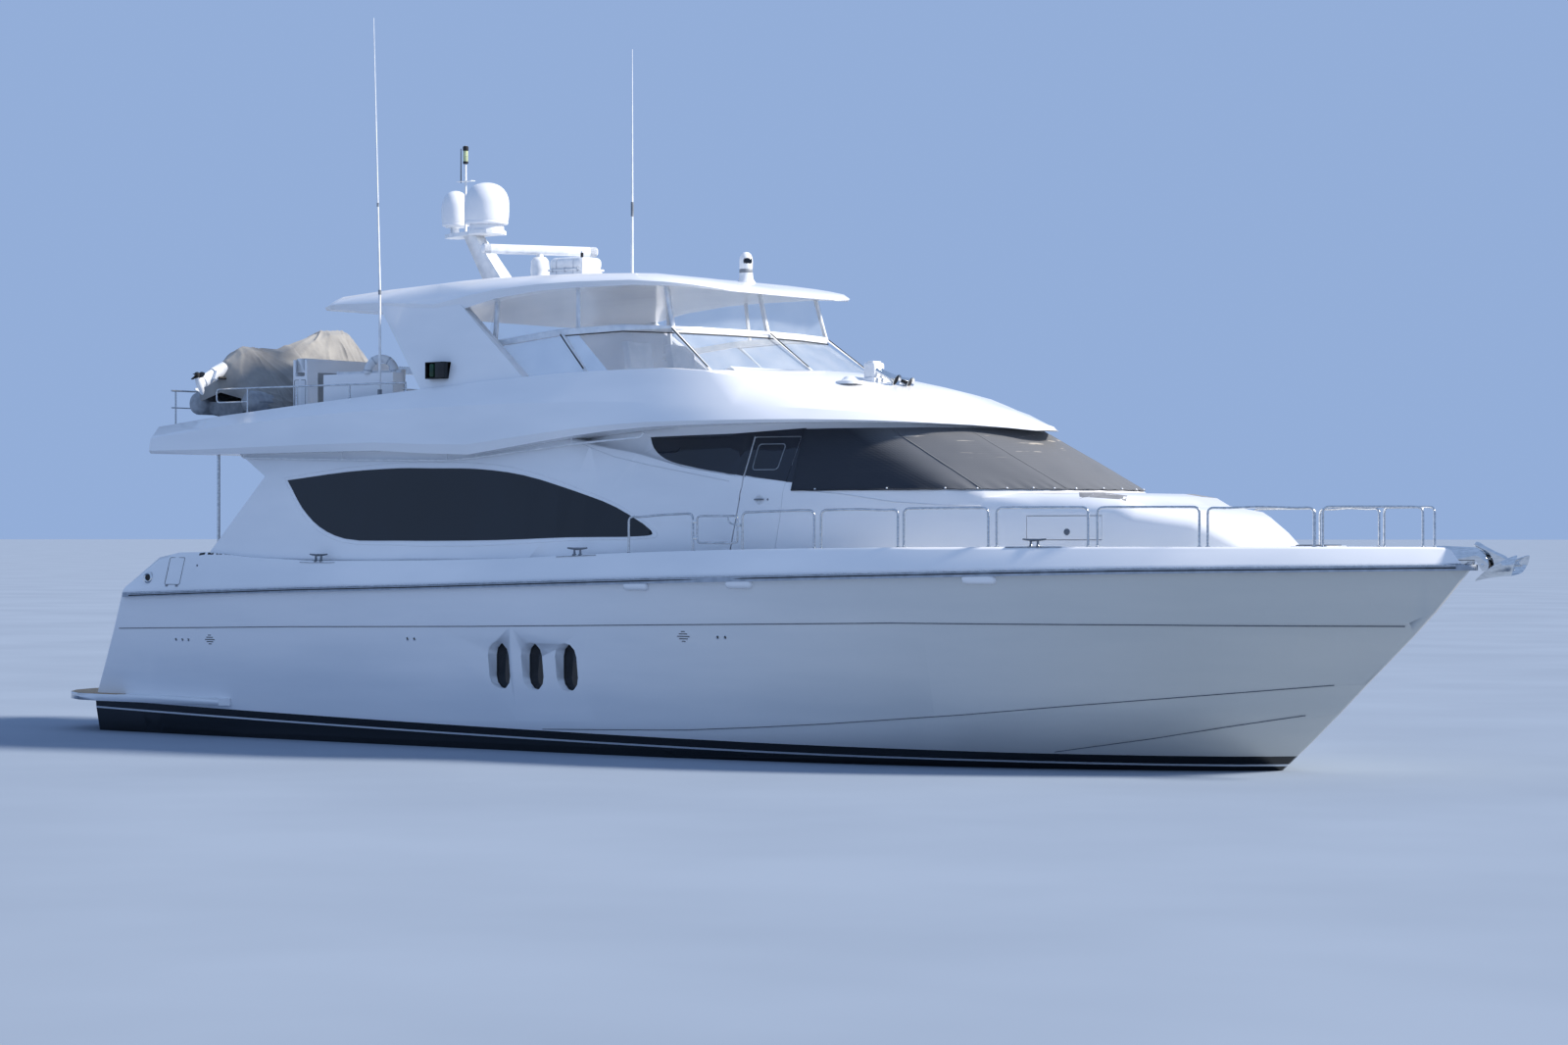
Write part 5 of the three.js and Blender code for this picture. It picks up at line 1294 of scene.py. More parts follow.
def thermalCamera():
    x, y = thermal["at"]
    low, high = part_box("thermal_camera")
    foot = Vector((x, y, low[2] + spring(x)))
    tall = high[2] - foot.z
    white, dark, grey = bmesh.new(), bmesh.new(), bmesh.new()
    spun(white, thermal["foot"], foot, sides=32)
    spun(grey, thermal["band"], foot, sides=32)
    spun(white, thermal["neck"] + [(r, tall * share) for r, share in thermal["head"]], foot, sides=32)
    aim = Vector(thermal["aim"]).normalized()
    share, out = thermal["eye"]
    eye = foot + Vector((0, 0, tall * share)) + aim * out
    spun(dark, thermal["window"], eye, aim, sides=24)
    spun(grey, thermal["rim"], eye, aim, sides=24)
    fitShape(white, "camera_housing", whitePlastic, ["thermal_camera"], 40)
    fitShape(dark, "camera_window", saloonGlass, angle=40)
    fitShape(grey, "camera_bands", greyPlastic, angle=40)


for name, part in domeParts.items():
    dome(name, part)
scanner()
lampAndReceivers()
for name, whip in whips.items():
    aerial(name, whip)
liferaft()
thermalCamera()
print("mast head made")


# flybridge: clear enclosure, sealant on the screen, horns, flood lamp and side lights

glassHead = [(-2.86, -2.10, 5.915), (-1.40, -2.08, 6.06), (-0.30, -2.01, 6.095), (0.50, -1.88, 6.05),
             (0.76, -0.90, 6.045), (0.83, 0, 6.045)]
topFrame = {"up": 0.085, "head": 6.62, "belly": 0.012, "thick": 0.002}  # belly: how far the slack panels bow out


def enclosure():
    # clear panels between the screen rail and the hardtop, a little slack between their zips
    shape = bmesh.new()
    path = glassHead + [(x, -y, z) for x, y, z in reversed(glassHead[:-1])]
    fine = []
    for k, (a, b) in enumerate(zip(path, path[1:])):
        a, b = Vector(a), Vector(b)
        for i in range(6):
            fine.append((a.lerp(b, i / 6), k, i / 6))
    fine.append((Vector(path[-1]), len(path) - 2, 1.0))
    columns = []
    for p, k, t in fine:
        head = roof.ray_cast(Vector((p.x * 0.97 - 0.03, p.y * 0.965, 6.2)), Vector((0, 0, 1)))[0]
        high = (head.z if head else topFrame["head"]) + 0.004
        low = p.z + topFrame["up"]
        column = []
        for j in range(5):
            s = j / 4
            bow = math.sin(math.pi * t) * math.sin(math.pi * s) * topFrame["belly"]
            away = Vector((p.x + 1.5, p.y, 0)).normalized()
            q = Vector((p.x, p.y, 0)) * (1 - 0.035 * s) + Vector((-0.03 * s, 0, low + (high - low) * s))
            column.append(shape.verts.new(q + away * (bow - 0.02)))
        columns.append(column)
    panels(shape, columns)
    bmesh.ops.recalc_face_normals(shape, faces=shape.faces)
    sheet = lay(shape, "clear_panels")
    modify(sheet, "SOLIDIFY", thickness=topFrame["thick"])
    fit(sheet, clearVinyl, angle=40)


hornPair = {"block": (3.17, -0.60), "mouths": [(3.60, -0.64, 5.31), (3.73, -0.49, 5.27)], "bell": 0.098,
            "lamp": (3.15, -1.16)}


def horns():
    # twin trumpets on a block, and a low round flood lamp beside them
    x, y = hornPair["block"]
    lift = plumb(upper, x, y).z
    base = cubeAt((x - 0.14, y - 0.17, lift - 0.08), (x + 0.13, y + 0.17, lift + 0.03), 0.02)
    driver = cubeAt((x - 0.10, y - 0.13, lift + 0.02), (x + 0.10, y + 0.13, lift + 0.25), 0.035, 4)
    cap = cubeAt((x - 0.05, y - 0.10, lift + 0.23), (x + 0.06, y + 0.10, lift + 0.27), 0.012)
    metal, throats = bmesh.new(), bmesh.new()
    for dy, mouth in zip((-0.065, 0.065), hornPair["mouths"]):
        start, mouth, r = Vector((x + 0.07, y + dy, lift + 0.14)), Vector(mouth), hornPair["bell"]
        reach = (mouth - start).length
        throat = [(0, -0.02), (0.036, -0.02), (0.038, 0.03), (0.026, 0.05), (0.028, reach * 0.4),
                  (0.042, reach * 0.7)]
        bell = [(r * 0.7, reach - 0.05), (r * 0.92, reach - 0.015), (r, reach), (r * 0.94, reach + 0.003)]
        inside = [(r * 0.72, reach - 0.03), (0.03, reach * 0.7), (0, reach * 0.68)]
        spun(metal, throat + bell + inside, start, mouth - start, sides=28)
        # a black plug inside each bell stands for the dark inside of the trumpet: painted shade
        plug = [(0, reach - 0.03), (r * 0.7, reach - 0.028), (r * 0.7, reach - 0.04), (0, reach - 0.042)]
        spun(throats, plug, start, mouth - start, sides=28)
    fitShape(throats, "horn_mouth_shade", blackPlastic, angle=45)
    fitShape(metal, "horn_trumpets", chrome, angle=45)
    foot = plumb(upper, *hornPair["lamp"])
    lamp = turned([(0, 0.085), (0.06, 0.08), (0.09, 0.055), (0.12, 0.028), (0.19, 0.012), (0.2, -0.03)], foot,
                  sides=32)
    fit(joined([base, lamp, driver, cap], "horn_base"), whitePlastic, angle=45)


sideLight = {"x": (-3.61, -3.23), "z": (5.46, 5.71), "deep": 0.13}


def sideLights(name, side):
    leg = reader("arch_leg_" + name)
    x0, x1 = sideLight["x"]
    z0, z1 = sideLight["z"]
    y = meet(leg, *abeam(side)((x0 + x1) / 2, (z0 + z1) / 2))[0].y
    dark, glass = bmesh.new(), bmesh.new()
    out = side * sideLight["deep"]
    t = 0.012
    for a, b, c, d, deep in ((x0, x1, z0, z0 + t, 1), (x0, x1, z1 - t, z1, 1), (x0, x0 + t, z0, z1, 1),
                             (x0 + 0.2, x1, z0, z1, 1),
                             (x0, x1, z0, z1, 0.35)):
        near, far = sorted((y - side * 0.03, y + out * deep))
        block(dark, (a, near, c), (b, far, d), 0.004)
    lens = [(0, z0 + 0.03), (0.045, z0 + 0.03), (0.05, z0 + 0.05), (0.05, z1 - 0.05), (0.045, z1 - 0.03),
            (0, z1 - 0.03)]
    spun(glass, lens, (x0 + 0.11, y + out * 0.6, 0), sides=24)
    fit(lay(dark, "side_light_box_" + name), blackPlastic, angle=40)
    fitShape(glass, "side_light_glass_" + name, greenGlass if side < 0 else redGlass, angle=40)


redGlass = plasticFinish("red lamp glass", "#6b1414", "#4c0d0d", low=0.08, high=0.15)
glassFoot = [(-1.90, -2.33, 5.38), (-0.65, -2.30, 5.40), (0.52, -2.25, 5.43), (1.40, -2.08, 5.43),
             (1.65, -1.00, 5.44), (1.73, 0, 5.44)]


def screenJoints():
    # black sealant over the mullions and along the head and foot of the panes
    shape = bmesh.new()
    feet, heads = [[Vector(p) for p in table + [(x, -y, z) for x, y, z in reversed(table[:-1])]]
                   for table in (glassFoot, glassHead)]
    frame = reader("flybridge_frame")
    for k in (1, 3, 5, 7, 9):
        out = (heads[k] - feet[k]).cross(feet[k + 1] - feet[k - 1]).normalized()
        out = out if out.z > 0 else -out
        met = [frame.ray_cast(feet[k].lerp(heads[k], t / 10) + out * 0.3, -out)[0] for t in range(1, 11)]
        sweep(shape, [p + out * 0.002 for p in met if p], 0.011, sides=8)
    sweep(shape, [p + Vector((p.x + 1, p.y * 1.2, 0)).normalized() * 0.03 + Vector((0, 0, 0.03)) for p in feet],
          0.01, sides=8)
    sweep(shape, [p + Vector((p.x + 3, p.y * 1.2, 0)).normalized() * 0.035 - Vector((0, 0, 0.012))
                  for p in heads[1:-1]], 0.008, sides=8)
    fitShape(shape, "screen_sealant", blackPlastic, angle=50)


enclosure()
screenJoints()
horns()
for name, side in sides.items():
    sideLights(name, side)
print("flybridge fittings made")


# soft seats: crowned pads with rounded edges; buoy, displays and wheel

def cushion(name, low, high, crown=0.03, turn=None):
    # a stuffed pad: a fine rounded box, its faces swollen, its sides pulled in between the corners
    low, high = Vector(low), Vector(high)
    size, centre = high - low, (low + high) / 2
    shape = bmesh.new()
    block(shape, low, high)
    bmesh.ops.subdivide_edges(shape, edges=shape.edges[:], cuts=10, use_grid_fill=True)
    thin = min(range(3), key=lambda k: size[k])
    wide = [k for k in range(3) if k != thin]
    for vert in shape.verts:
        s = [(vert.co[k] - centre[k]) / (size[k] / 2) for k in range(3)]
        inner = max(abs(s[k]) for k in wide) < 1
        dome = math.cos(s[wide[0]] * math.pi / 2) ** 0.6 * math.cos(s[wide[1]] * math.pi / 2) ** 0.6 if inner else 0
        if s[thin] > -0.99:
            vert.co[thin] += crown * dome * (0.5 + 0.5 * s[thin])
        for k in wide:
            other = wide[0] if k == wide[1] else wide[1]
            pull = 0.02 * (1 - s[other] ** 2) * abs(s[k]) ** 3
            vert.co[k] -= math.copysign(pull, s[k]) * (1 - 0.3 * abs(s[thin]))
    if turn is not None:
        bmesh.ops.transform(shape, matrix=turn, verts=shape.verts)
    made = lay(shape, name)
    modify(made, "BEVEL", width=0.018, segments=3, limit_method="ANGLE", angle_limit=math.radians(40))
    modify(made, "SUBSURF", levels=1, render_levels=1)
    fit(made, vinyl, angle=60)


settee = {"seat": (-2.06, -1.50, 5.252, 5.36), "back": (-2.075, -1.97, 5.37, 5.66), "pitch": 0.70, "pad": 0.68}
helmSeat = {"x": -0.35, "y": (-1.15, -0.15), "half": 0.28, "lean": -8,
            "seat": (-0.62, -0.08, 5.27, 5.40), "back": (-0.72, -0.60, 5.37, 5.98),
            "foot": [(0, 4.8), (0.2, 4.8), (0.2, 4.82), (0.06, 4.84), (0.055, 5.25), (0.12, 5.27), (0, 5.27)]}


def flySeats():
    low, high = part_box("flybridge_settee")
    y0, y1, z0, z1 = settee["seat"]
    cushion("settee_seat_pad", (low[0] + 0.04, y0, z0), (high[0] - 0.04, y1, z1))
    y0, y1, z0, z1 = settee["back"]
    for k, letter in enumerate("ab"):
        x = low[0] + 0.05 + k * settee["pitch"]
        cushion("settee_back_pad_" + letter, (x, y0, z0), (x + settee["pad"], y1, z1), crown=0.02)
    for letter, y in zip("ab", helmSeat["y"]):
        shape = bmesh.new()
        spun(shape, helmSeat["foot"], (helmSeat["x"], y, 0), sides=28)
        fitShape(shape, "helm_seat_pedestal_" + letter, steel, angle=40)
        for part, crown in (("seat", 0.03), ("back", 0.02)):
            x0, x1, z0, z1 = helmSeat[part]
            lean = about(((x0 + x1) / 2, y, z0), helmSeat["lean"], "Y") if part == "back" else None
            cushion("helm_seat_" + ("pad_" if part == "seat" else "back_") + letter, (x0, y - helmSeat["half"], z0),
                    (x1, y + helmSeat["half"], z1), crown, lean)


buoy = {"centre": (-4.94, -2.17, 5.61), "reach": (0.165, 0.125, 0.215), "tube": 0.064, "straps": (2, 8, 16, 22)}


def lifeRing():
    # a horseshoe buoy in a white cover, stood on the settee's back
    shape, straps = bmesh.new(), bmesh.new()
    x, y, z = buoy["reach"]
    path = []
    for i in range(25):
        a = math.radians(-8 + 196 * i / 24)
        path.append(Vector(buoy["centre"]) + Vector((math.cos(a) * x, math.cos(a) * y, math.sin(a) * z)))
    sweep(shape, path, buoy["tube"], sides=16)
    for i in buoy["straps"]:
        way = (path[i + 1] - path[i - 1]).normalized() * 0.012
        sweep(straps, [path[i] - way, path[i] + way], buoy["tube"] + 0.0015, sides=16)
    piece = lay(shape, "horseshoe_buoy")
    modify(piece, "SUBSURF", levels=1, render_levels=1)
    fit(piece, vinyl, angle=60)
    fitShape(straps, "buoy_straps", strapWeb, angle=60)


displays = {"y": (-1.15, -0.6, -0.05), "half": 0.22, "low": (0.885, 5.405), "high": (1.17, 5.548),
            "up": (-0.45, 0, 0.89)}
wheel = {"hub": (0.60, -0.6, 5.32), "axis": (-0.9, 0, 0.42), "out": 0.06, "radius": 0.2, "spokes": 5}


def helm():
    # instrument panels and wheel on the console
    dark, trim = bmesh.new(), bmesh.new()
    up = Vector(displays["up"]).normalized()
    (x0, z0), (x1, z1), half = displays["low"], displays["high"], displays["half"]
    for y in displays["y"]:
        corners = [Vector(p) for p in ((x0, y - half, z0), (x1, y - half, z1), (x1, y + half, z1),
                                       (x0, y + half, z0))]
        low = [dark.verts.new(c - up * 0.01) for c in corners]
        high = [dark.verts.new(c + up * 0.006) for c in corners]
        dark.faces.new(high)
        dark.faces.new(low[::-1])
        for k in range(4):
            dark.faces.new((low[k], low[(k + 1) % 4], high[(k + 1) % 4], high[k]))
    hub, axis = Vector(wheel["hub"]), Vector(wheel["axis"]).normalized()
    side = axis.orthogonal().normalized()
    up = axis.cross(side)

    def rim(turn):
        a = turn * math.tau
        return hub + axis * wheel["out"] + (side * math.cos(a) + up * math.sin(a)) * wheel["radius"]

    sweep(trim, [rim(k / 36) for k in range(36)], 0.014, sides=10, closed=True)
    for k in range(wheel["spokes"]):
        sweep(trim, [hub, rim(k / wheel["spokes"])], 0.008, sides=8)
    sweep(trim, [hub - axis * 0.14, hub + axis * 0.02], 0.03, sides=16)
    fitShape(dark, "helm_displays", saloonGlass)
    fitShape(trim, "helm_wheel", steel, angle=50)


flySeats()
lifeRing()
helm()
print("flybridge seats made")


# tender: grey tubes under a draped canvas cover, with its outboard tilted to starboard

tender = {"x": -8.15, "tube": 0.20, "half": 0.60, "folds": 0.04,
          "line": [(0.58, -2.36, 5.22), (0.58, 0.2, 5.23), (0.44, 1.0, 5.29), (0.13, 1.42, 5.33), (0, 1.50, 5.335)],
          "sections": [(-2.3, 0.42, 4.97), (-1.2, 0.42, 4.96), (0.2, 0.40, 4.97), (0.9, 0.26, 5.04),
                       (1.3, 0.08, 5.17)]}
tentPeaks = [(-1.93, 6.165), (0.0, 6.5), (0.38, 6.45)]
coverLines = [  # y, half breadth, tube height, ridge height, hem height
    (-2.42, 0.52, 5.23, 5.70, 5.30), (-2.33, 0.70, 5.22, 5.90, 5.24), (-1.97, 0.80, 5.22, 6.165, 5.08),
    (-1.60, 0.81, 5.22, 6.14, 5.03),
    (-1.21, 0.81, 5.225, 6.145, 5.00), (-0.70, 0.81, 5.23, 6.30, 4.99), (-0.17, 0.81, 5.235, 6.485, 4.99),
    (0.29, 0.81, 5.24, 6.51, 4.99),
    (0.47, 0.805, 5.245, 6.355, 5.00), (0.75, 0.77, 5.26, 6.075, 5.03), (1.10, 0.65, 5.30, 5.775, 5.10),
    (1.40, 0.39, 5.34, 5.595, 5.20),
    (1.55, 0.16, 5.365, 5.50, 5.28),
]


def coverAt(y, k):
    return along([(row[0], row[k]) for row in coverLines], y)


def tenderCover():
    # one canvas sheet over a ridge line, hanging past the tubes in folds
    shape = bmesh.new()
    rows, columns = 190, 120
    grid = []
    for i in range(rows + 1):
        y = -2.42 + 3.97 * i / rows
        half, tube, ridge, hem = (coverAt(y, k) for k in (1, 2, 3, 4))
        key = [(-1.02, hem), (-1.02, tube + 0.02), (-0.93, tube + 0.16),
               (-0.6, tube + 0.15 + (ridge - tube - 0.15) * 0.47), (-0.2, ridge - (ridge - tube) * 0.06), (0, ridge)]
        key += [(-a, b) for a, b in reversed(key[:-1])]
        row = []
        for j in range(columns + 1):
            t = j / columns * (len(key) - 1)
            n = min(int(t), len(key) - 2)
            a, b = key[n], key[n + 1]
            s = t - n
            dx, z = a[0] + (b[0] - a[0]) * s, a[1] + (b[1] - a[1]) * s
            across = abs(j / columns * 2 - 1)
            p = Vector((tender["x"] + dx * half, y, z))
            peak = min(tentPeaks, key=lambda q: abs(q[0] - y) + 0.2)
            turn = math.atan2(y - peak[0], peak[1] + 0.12 - z)
            far = math.hypot(y - peak[0], peak[1] - z)
            wander = noise.noise(Vector((turn * 2.2, dx, peak[0]))) * 2.2
            crease = (1 - abs(math.sin(turn * 6.5 + wander))) ** 4 * min(1, far / 0.25)
            small = (1 - abs(math.sin(turn * 17 + wander * 2 + far * 1.5))) ** 3 * min(1, far / 0.5)
            level = z * 26 + y * 9 + noise.noise(p * 3) * 3
            gather = (1 - abs(math.sin(level))) ** 2 * max(0, 1 - abs(y + 2.0) / 0.7) * across
            depth = tender["folds"] * (crease + 0.45 * small + 0.7 * gather + 0.5 * noise.noise(p * 2.1))
            away = Vector((dx, 0, 0.35 + 0.65 * (1 - across))).normalized()
            row.append(shape.verts.new(p + away * (depth - tender["folds"] * 0.9)))
        grid.append(row)
    panels(shape, grid)
    for end, stern in ((grid[0], True), (grid[-1], False)):
        # the end flaps close over the transom and the stem
        middle = [v.co.copy() for v in end]
        low = min(v.z for v in middle)
        mid = shape.verts.new(Vector((tender["x"], middle[0].y + (-0.03 if stern else 0.04), low + 0.12)))
        for a, b in zip(end, end[1:]):
            shape.faces.new((mid, b, a) if stern else (mid, a, b))
    outward(shape)
    cover = lay(shape, "tender_cover")
    modify(cover, "SMOOTH", factor=0.4, iterations=1)
    modify(cover, "SOLIDIFY", thickness=0.003, offset=-1)
    fit(cover, tenderCloth, ["tender"], angle=60)
    area = sum(p.area for p in cover.data.polygons) / 2
    print("tender cover area", round(area, 2))


def tenderBoat():
    shape, hullPart, chocks = bmesh.new(), bmesh.new(), bmesh.new()
    x = tender["x"]
    path = curveOf([(x - dx, y, z) for dx, y, z in tender["line"]], 0.6, 8)
    path += [Vector((2 * x - p.x, p.y, p.z)) for p in reversed(path[:-1])]
    sweep(shape, path, tender["tube"] - 0.02, sides=24)
    for dx in (-1, 1):
        end = Vector((x + dx * (tender["half"] - 0.02), -2.36, 5.22))
        spun(shape, [(0.18, 0), (0.165, 0.04), (0.10, 0.075), (0.0, 0.085)], end, (0, -1, 0), sides=24)
        sweep(hullPart, [end + Vector((dx * 0.178, 0.02, 0)), end + Vector((dx * 0.178, 2.5, 0.01))], 0.012, sides=8)
    rings = []
    for y, half, keel in tender["sections"]:
        rings.append([hullPart.verts.new((x + dx * half, y, z)) for dx,
                      z in ((-1, 5.24), (-0.95, 5.08), (0, keel), (0.95, 5.08), (1, 5.24))])
    for a, b in zip(rings, rings[1:]):
        for k in range(4):
            hullPart.faces.new((a[k], a[k + 1], b[k + 1], b[k]))
        hullPart.faces.new((a[4], a[0], b[0], b[4]))
    hullPart.faces.new(rings[0])
    hullPart.faces.new(rings[-1])
    for y in (-1.5, 0.5):
        block(chocks, (x - 0.5, y - 0.045, 4.801), (x + 0.5, y + 0.045, 5.0), 0.012)
        for dx in (-0.46, 0.46):
            block(chocks, (x + dx - 0.05, y - 0.045, 4.99), (x + dx + 0.05, y + 0.045, 5.14), 0.02)
    fitShape(shape, "tender_tubes", hypalon, angle=60)
    fitShape(hullPart, "tender_hull", greyPlastic, angle=40)
    fit(lay(chocks, "tender_chocks"), whitePlastic, angle=40)


motor = {
    # each length of the leg: y and z of both ends, half width, half depth
    "leg": [((-2.36, 5.76), (-2.60, 5.65), 0.085, 0.11), ((-2.60, 5.65), (-2.80, 5.54), 0.06, 0.10),
            ((-2.80, 5.54), (-2.88, 5.50), 0.045, 0.09)],
    "hub": (-2.885, 5.475), "aim": (0, -0.36, 0.93),
    "fin": [(-2.90, 5.44), (-2.99, 5.425), (-2.99, 5.40), (-2.87, 5.36)],
    "gear": [(0, -0.16), (0.02, -0.15), (0.045, -0.10), (0.058, 0.0), (0.055, 0.08), (0.045, 0.13), (0, 0.135)],
    "boss": [(0, 0.12), (0.042, 0.12), (0.04, 0.2), (0.02, 0.215), (0, 0.216)],
}


def outboard():
    # the tilted outboard: white leg and gearcase, black propeller and bracket
    white, dark = bmesh.new(), bmesh.new()
    x = tender["x"]
    for a, b, wide, deep in motor["leg"]:
        sweep(white, [(x, *a), (x, *b)], deep, sides=20, across=wide / deep)
    block(white, (x - 0.12, -2.66, 5.56), (x + 0.12, -2.60, 5.72), 0.02, 3, about((x, -2.63, 5.64), -25, "X"))
    hub, aim = Vector((x, *motor["hub"])), Vector(motor["aim"]).normalized()
    spun(white, motor["gear"], hub, aim, sides=20)
    low, high = [[white.verts.new((x + dx, *p)) for p in motor["fin"]] for dx in (-0.012, 0.012)]
    white.faces.new(low)
    white.faces.new(high[::-1])
    for k in range(4):
        white.faces.new((low[k], high[k], high[(k + 1) % 4], low[(k + 1) % 4]))
    spun(dark, motor["boss"], hub, aim, sides=20)
    side = Vector((1, 0, 0))
    up = aim.cross(side)
    for k in range(3):
        a = k * math.tau / 3 + 0.5
        out = side * math.cos(a) + up * math.sin(a)
        turn = aim.cross(out)
        grid = []
        for i in range(5):
            r = 0.035 + 0.092 * i / 4
            wide = 0.055 * math.sin(math.pi * (0.25 + 0.6 * i / 4))
            pitch = 0.9 - 0.12 * i
            row = [hub + aim * 0.16 + out * r + (turn * math.cos(pitch) + aim * math.sin(pitch)) * wide * s
                   for s in (-1, -0.3, 0.4, 1)]
            grid.append([dark.verts.new(p) for p in row])
        panels(dark, grid)
    bmesh.ops.recalc_face_normals(dark, faces=dark.faces)
    for dx in (-0.10, 0.10):
        sweep(dark, [Vector((x + dx, -2.30, 5.60)), Vector((x + dx * 0.8, -2.56, 5.60))], 0.022, sides=10)
    screw = lay(dark, "tender_motor_screw")
    modify(screw, "SOLIDIFY", thickness=0.004)
    fit(screw, blackPlastic, angle=40)
    fitShape(white, "tender_motor_leg", whitePlastic, ["tender_outboard"], angle=50)


tenderBoat()
tenderCover()
outboard()
print("tender dressed")


# side doors: dark glass, the pane in it and the latch

doorPanel = [(2.229, 3.962), (2.296, 4.491), (3.0105, 4.491), (2.9325, 3.872)]
doorPane = {"x": (2.33, 2.76), "z": (4.04, 4.40), "lean": 0.045}


def sideDoor(name, side):
    ground = reader("side_door_" + name)
    view = abeam(side)
    glass, trim, metal = bmesh.new(), bmesh.new(), bmesh.new()
    patch(glass, ground, doorPanel, 0.003, view)
    outline = roundRect(*doorPane["x"], *doorPane["z"], 0.05, lean=doorPane["lean"])
    raised(glass, ground, outline, [(0, 0.002), (0.001, 0.006)], view)
    sweep(trim, onGround(ground, outline, view, 0.006), 0.0085, sides=8, closed=True)
    at, normal = meet(ground, *view(2.517, 3.625))
    cup = bmesh.new()
    # the cup's greyer gelcoat is painted shade in the recess round the latch
    spun(cup, [(0, 0.002), (0.044, 0.002), (0.052, 0.008), (0.066, 0.006), (0.074, -0.003)], at, normal, sides=32)
    fitShape(cup, "door_latch_cup_" + name, paintedShadeGelcoat, angle=40, body="side_door_" + name)
    sweep(metal, [at + normal * 0.016 + Vector((-0.075, 0, 0)), at + normal * 0.02,
                  at + normal * 0.016 + Vector((0.085, 0, 0))], 0.011, sides=10)
    keyAt, keyNormal = meet(ground, *view(2.66, 3.625))
    spun(metal, [(0, 0.008), (0.012, 0.007), (0.016, 0.0), (0.015, -0.004)], keyAt, keyNormal, sides=16)
    fitShape(glass, "door_glass_" + name, houseGlass, angle=30, body="side_door_" + name)
    fitShape(trim, "door_pane_frame_" + name, greyPlastic, angle=60, body="side_door_" + name)
    fitShape(metal, "door_latch_" + name, deckMetal, angle=45, body="side_door_" + name)


for name, side in sides.items():
    sideDoor(name, side)
print("doors dressed")


# windscreen cover: one laced mesh sheet from door to door, folded over the corners of the screen

screenRows = [  # the screen's plan at the sill and at the brow, row by row
    ((3.000, 2.420), (2.300, 2.200)), ((4.400, 2.250), (3.100, 2.080)), ((5.420, 2.050), (3.650, 1.950)),
    ((5.850, 1.800), (4.180, 1.740)),
    ((6.200, 1.500), (4.600, 1.500)), ((6.500, 1.250), (4.850, 1.260)), ((6.700, 1.000), (5.050, 1.000)),
    ((6.900, 0.500), (5.250, 0.500)),
    ((6.950, 0.0), (5.300, 0.0)),
]
screenCover = {"aft": 3.055, "low": 3.735, "high": 4.598, "lift": 0.017, "billow": 0.012, "width": 10.4,
               "length": 1.75, "area": 11.4,
               "seams": [((4.27, 1.696, 4.572), (5.834, 1.802, 3.745)), ((5.11, 0.986, 4.547), (6.66, 0.996, 3.76))]}


def screenPlan(z, cells):
    # the screen's outline at one height, from the starboard end round the front to the port end
    rise = (z - 3.72) / 0.85
    half = [Vector((a[0] + (b[0] - a[0]) * rise, -(a[1] + (b[1] - a[1]) * rise))) for a, b in screenRows]
    points = half + [Vector((p.x, -p.y)) for p in reversed(half[:-1])]
    points = [points[0] * 2 - points[1]] + points + [points[-1] * 2 - points[-2]]
    made = []
    for k in range(1, len(points) - 2):
        a, b, c, d = points[k - 1:k + 3]
        for i in range(cells):
            t = i / cells
            bend = (2 * a - 5 * b + 4 * c - d) * t * t + (3 * b - a - 3 * c + d) * t ** 3
            made.append(0.5 * (2 * b + (c - a) * t + bend))
    made.append(points[-2])
    first = next(i for i, p in enumerate(made) if p.x > screenCover["aft"])
    before, after = made[first - 1], made[first]
    cut = before.lerp(after, (screenCover["aft"] - before.x) / (after.x - before.x))
    # the end is cut square, and the way to the next row is shared out evenly again
    lead = [cut.lerp(made[cells], i / cells) for i in range(cells)]
    body = made[cells:len(made) - cells]
    return lead + body + [Vector((p.x, -p.y)) for p in reversed(lead)]


def screenCoverSheet():
    cells, rows = 14, 26
    shape = bmesh.new()
    levels = [screenCover["low"] + (screenCover["high"] - screenCover["low"]) * j / rows for j in range(rows + 1)]
    plans = [screenPlan(z, cells) for z in levels]
    count = len(plans[0])
    made = []
    for i in range(count):
        row = []
        for j, z in enumerate(levels):
            p = Vector((plans[j][i].x, plans[j][i].y, z))
            before, after = plans[j][max(i - 1, 0)], plans[j][min(i + 1, count - 1)]
            under, over = max(j - 1, 0), min(j + 1, rows)
            a = Vector((after.x - before.x, after.y - before.y, 0))
            b = Vector((plans[over][i].x - plans[under][i].x, plans[over][i].y - plans[under][i].y,
                        levels[over] - levels[under]))
            out = a.cross(b).normalized()
            out = out if out.z > 0 else -out
            s = j / rows
            pull = math.sin(math.pi * s) * (0.5 + 0.5 * noise.noise(p * 1.6))
            slack = screenCover["billow"] * pull + 0.004 * noise.noise(Vector((p.x * 3, p.y * 3, p.z * 9)))
            scallop = 0.005 * math.sin(i * 0.9) * max(0, 1 - s * 6)
            row.append(shape.verts.new(p + out * (screenCover["lift"] + max(slack, 0) + scallop)))
        made.append(row)
    panels(shape, made)
    shape.normal_update()
    if sum(f.normal.z for f in shape.faces) < 0:
        bmesh.ops.reverse_faces(shape, faces=shape.faces)
    cover = lay(shape, "mesh_screen_cover")
    print("screen cover area", round(sum(p.area for p in cover.data.polygons), 2))
    modify(cover, "SOLIDIFY", thickness=0.002, offset=-1)
    fit(cover, coverMesh, ["windscreen_cover"], angle=60)
    return cover, treeOf([cover.data])


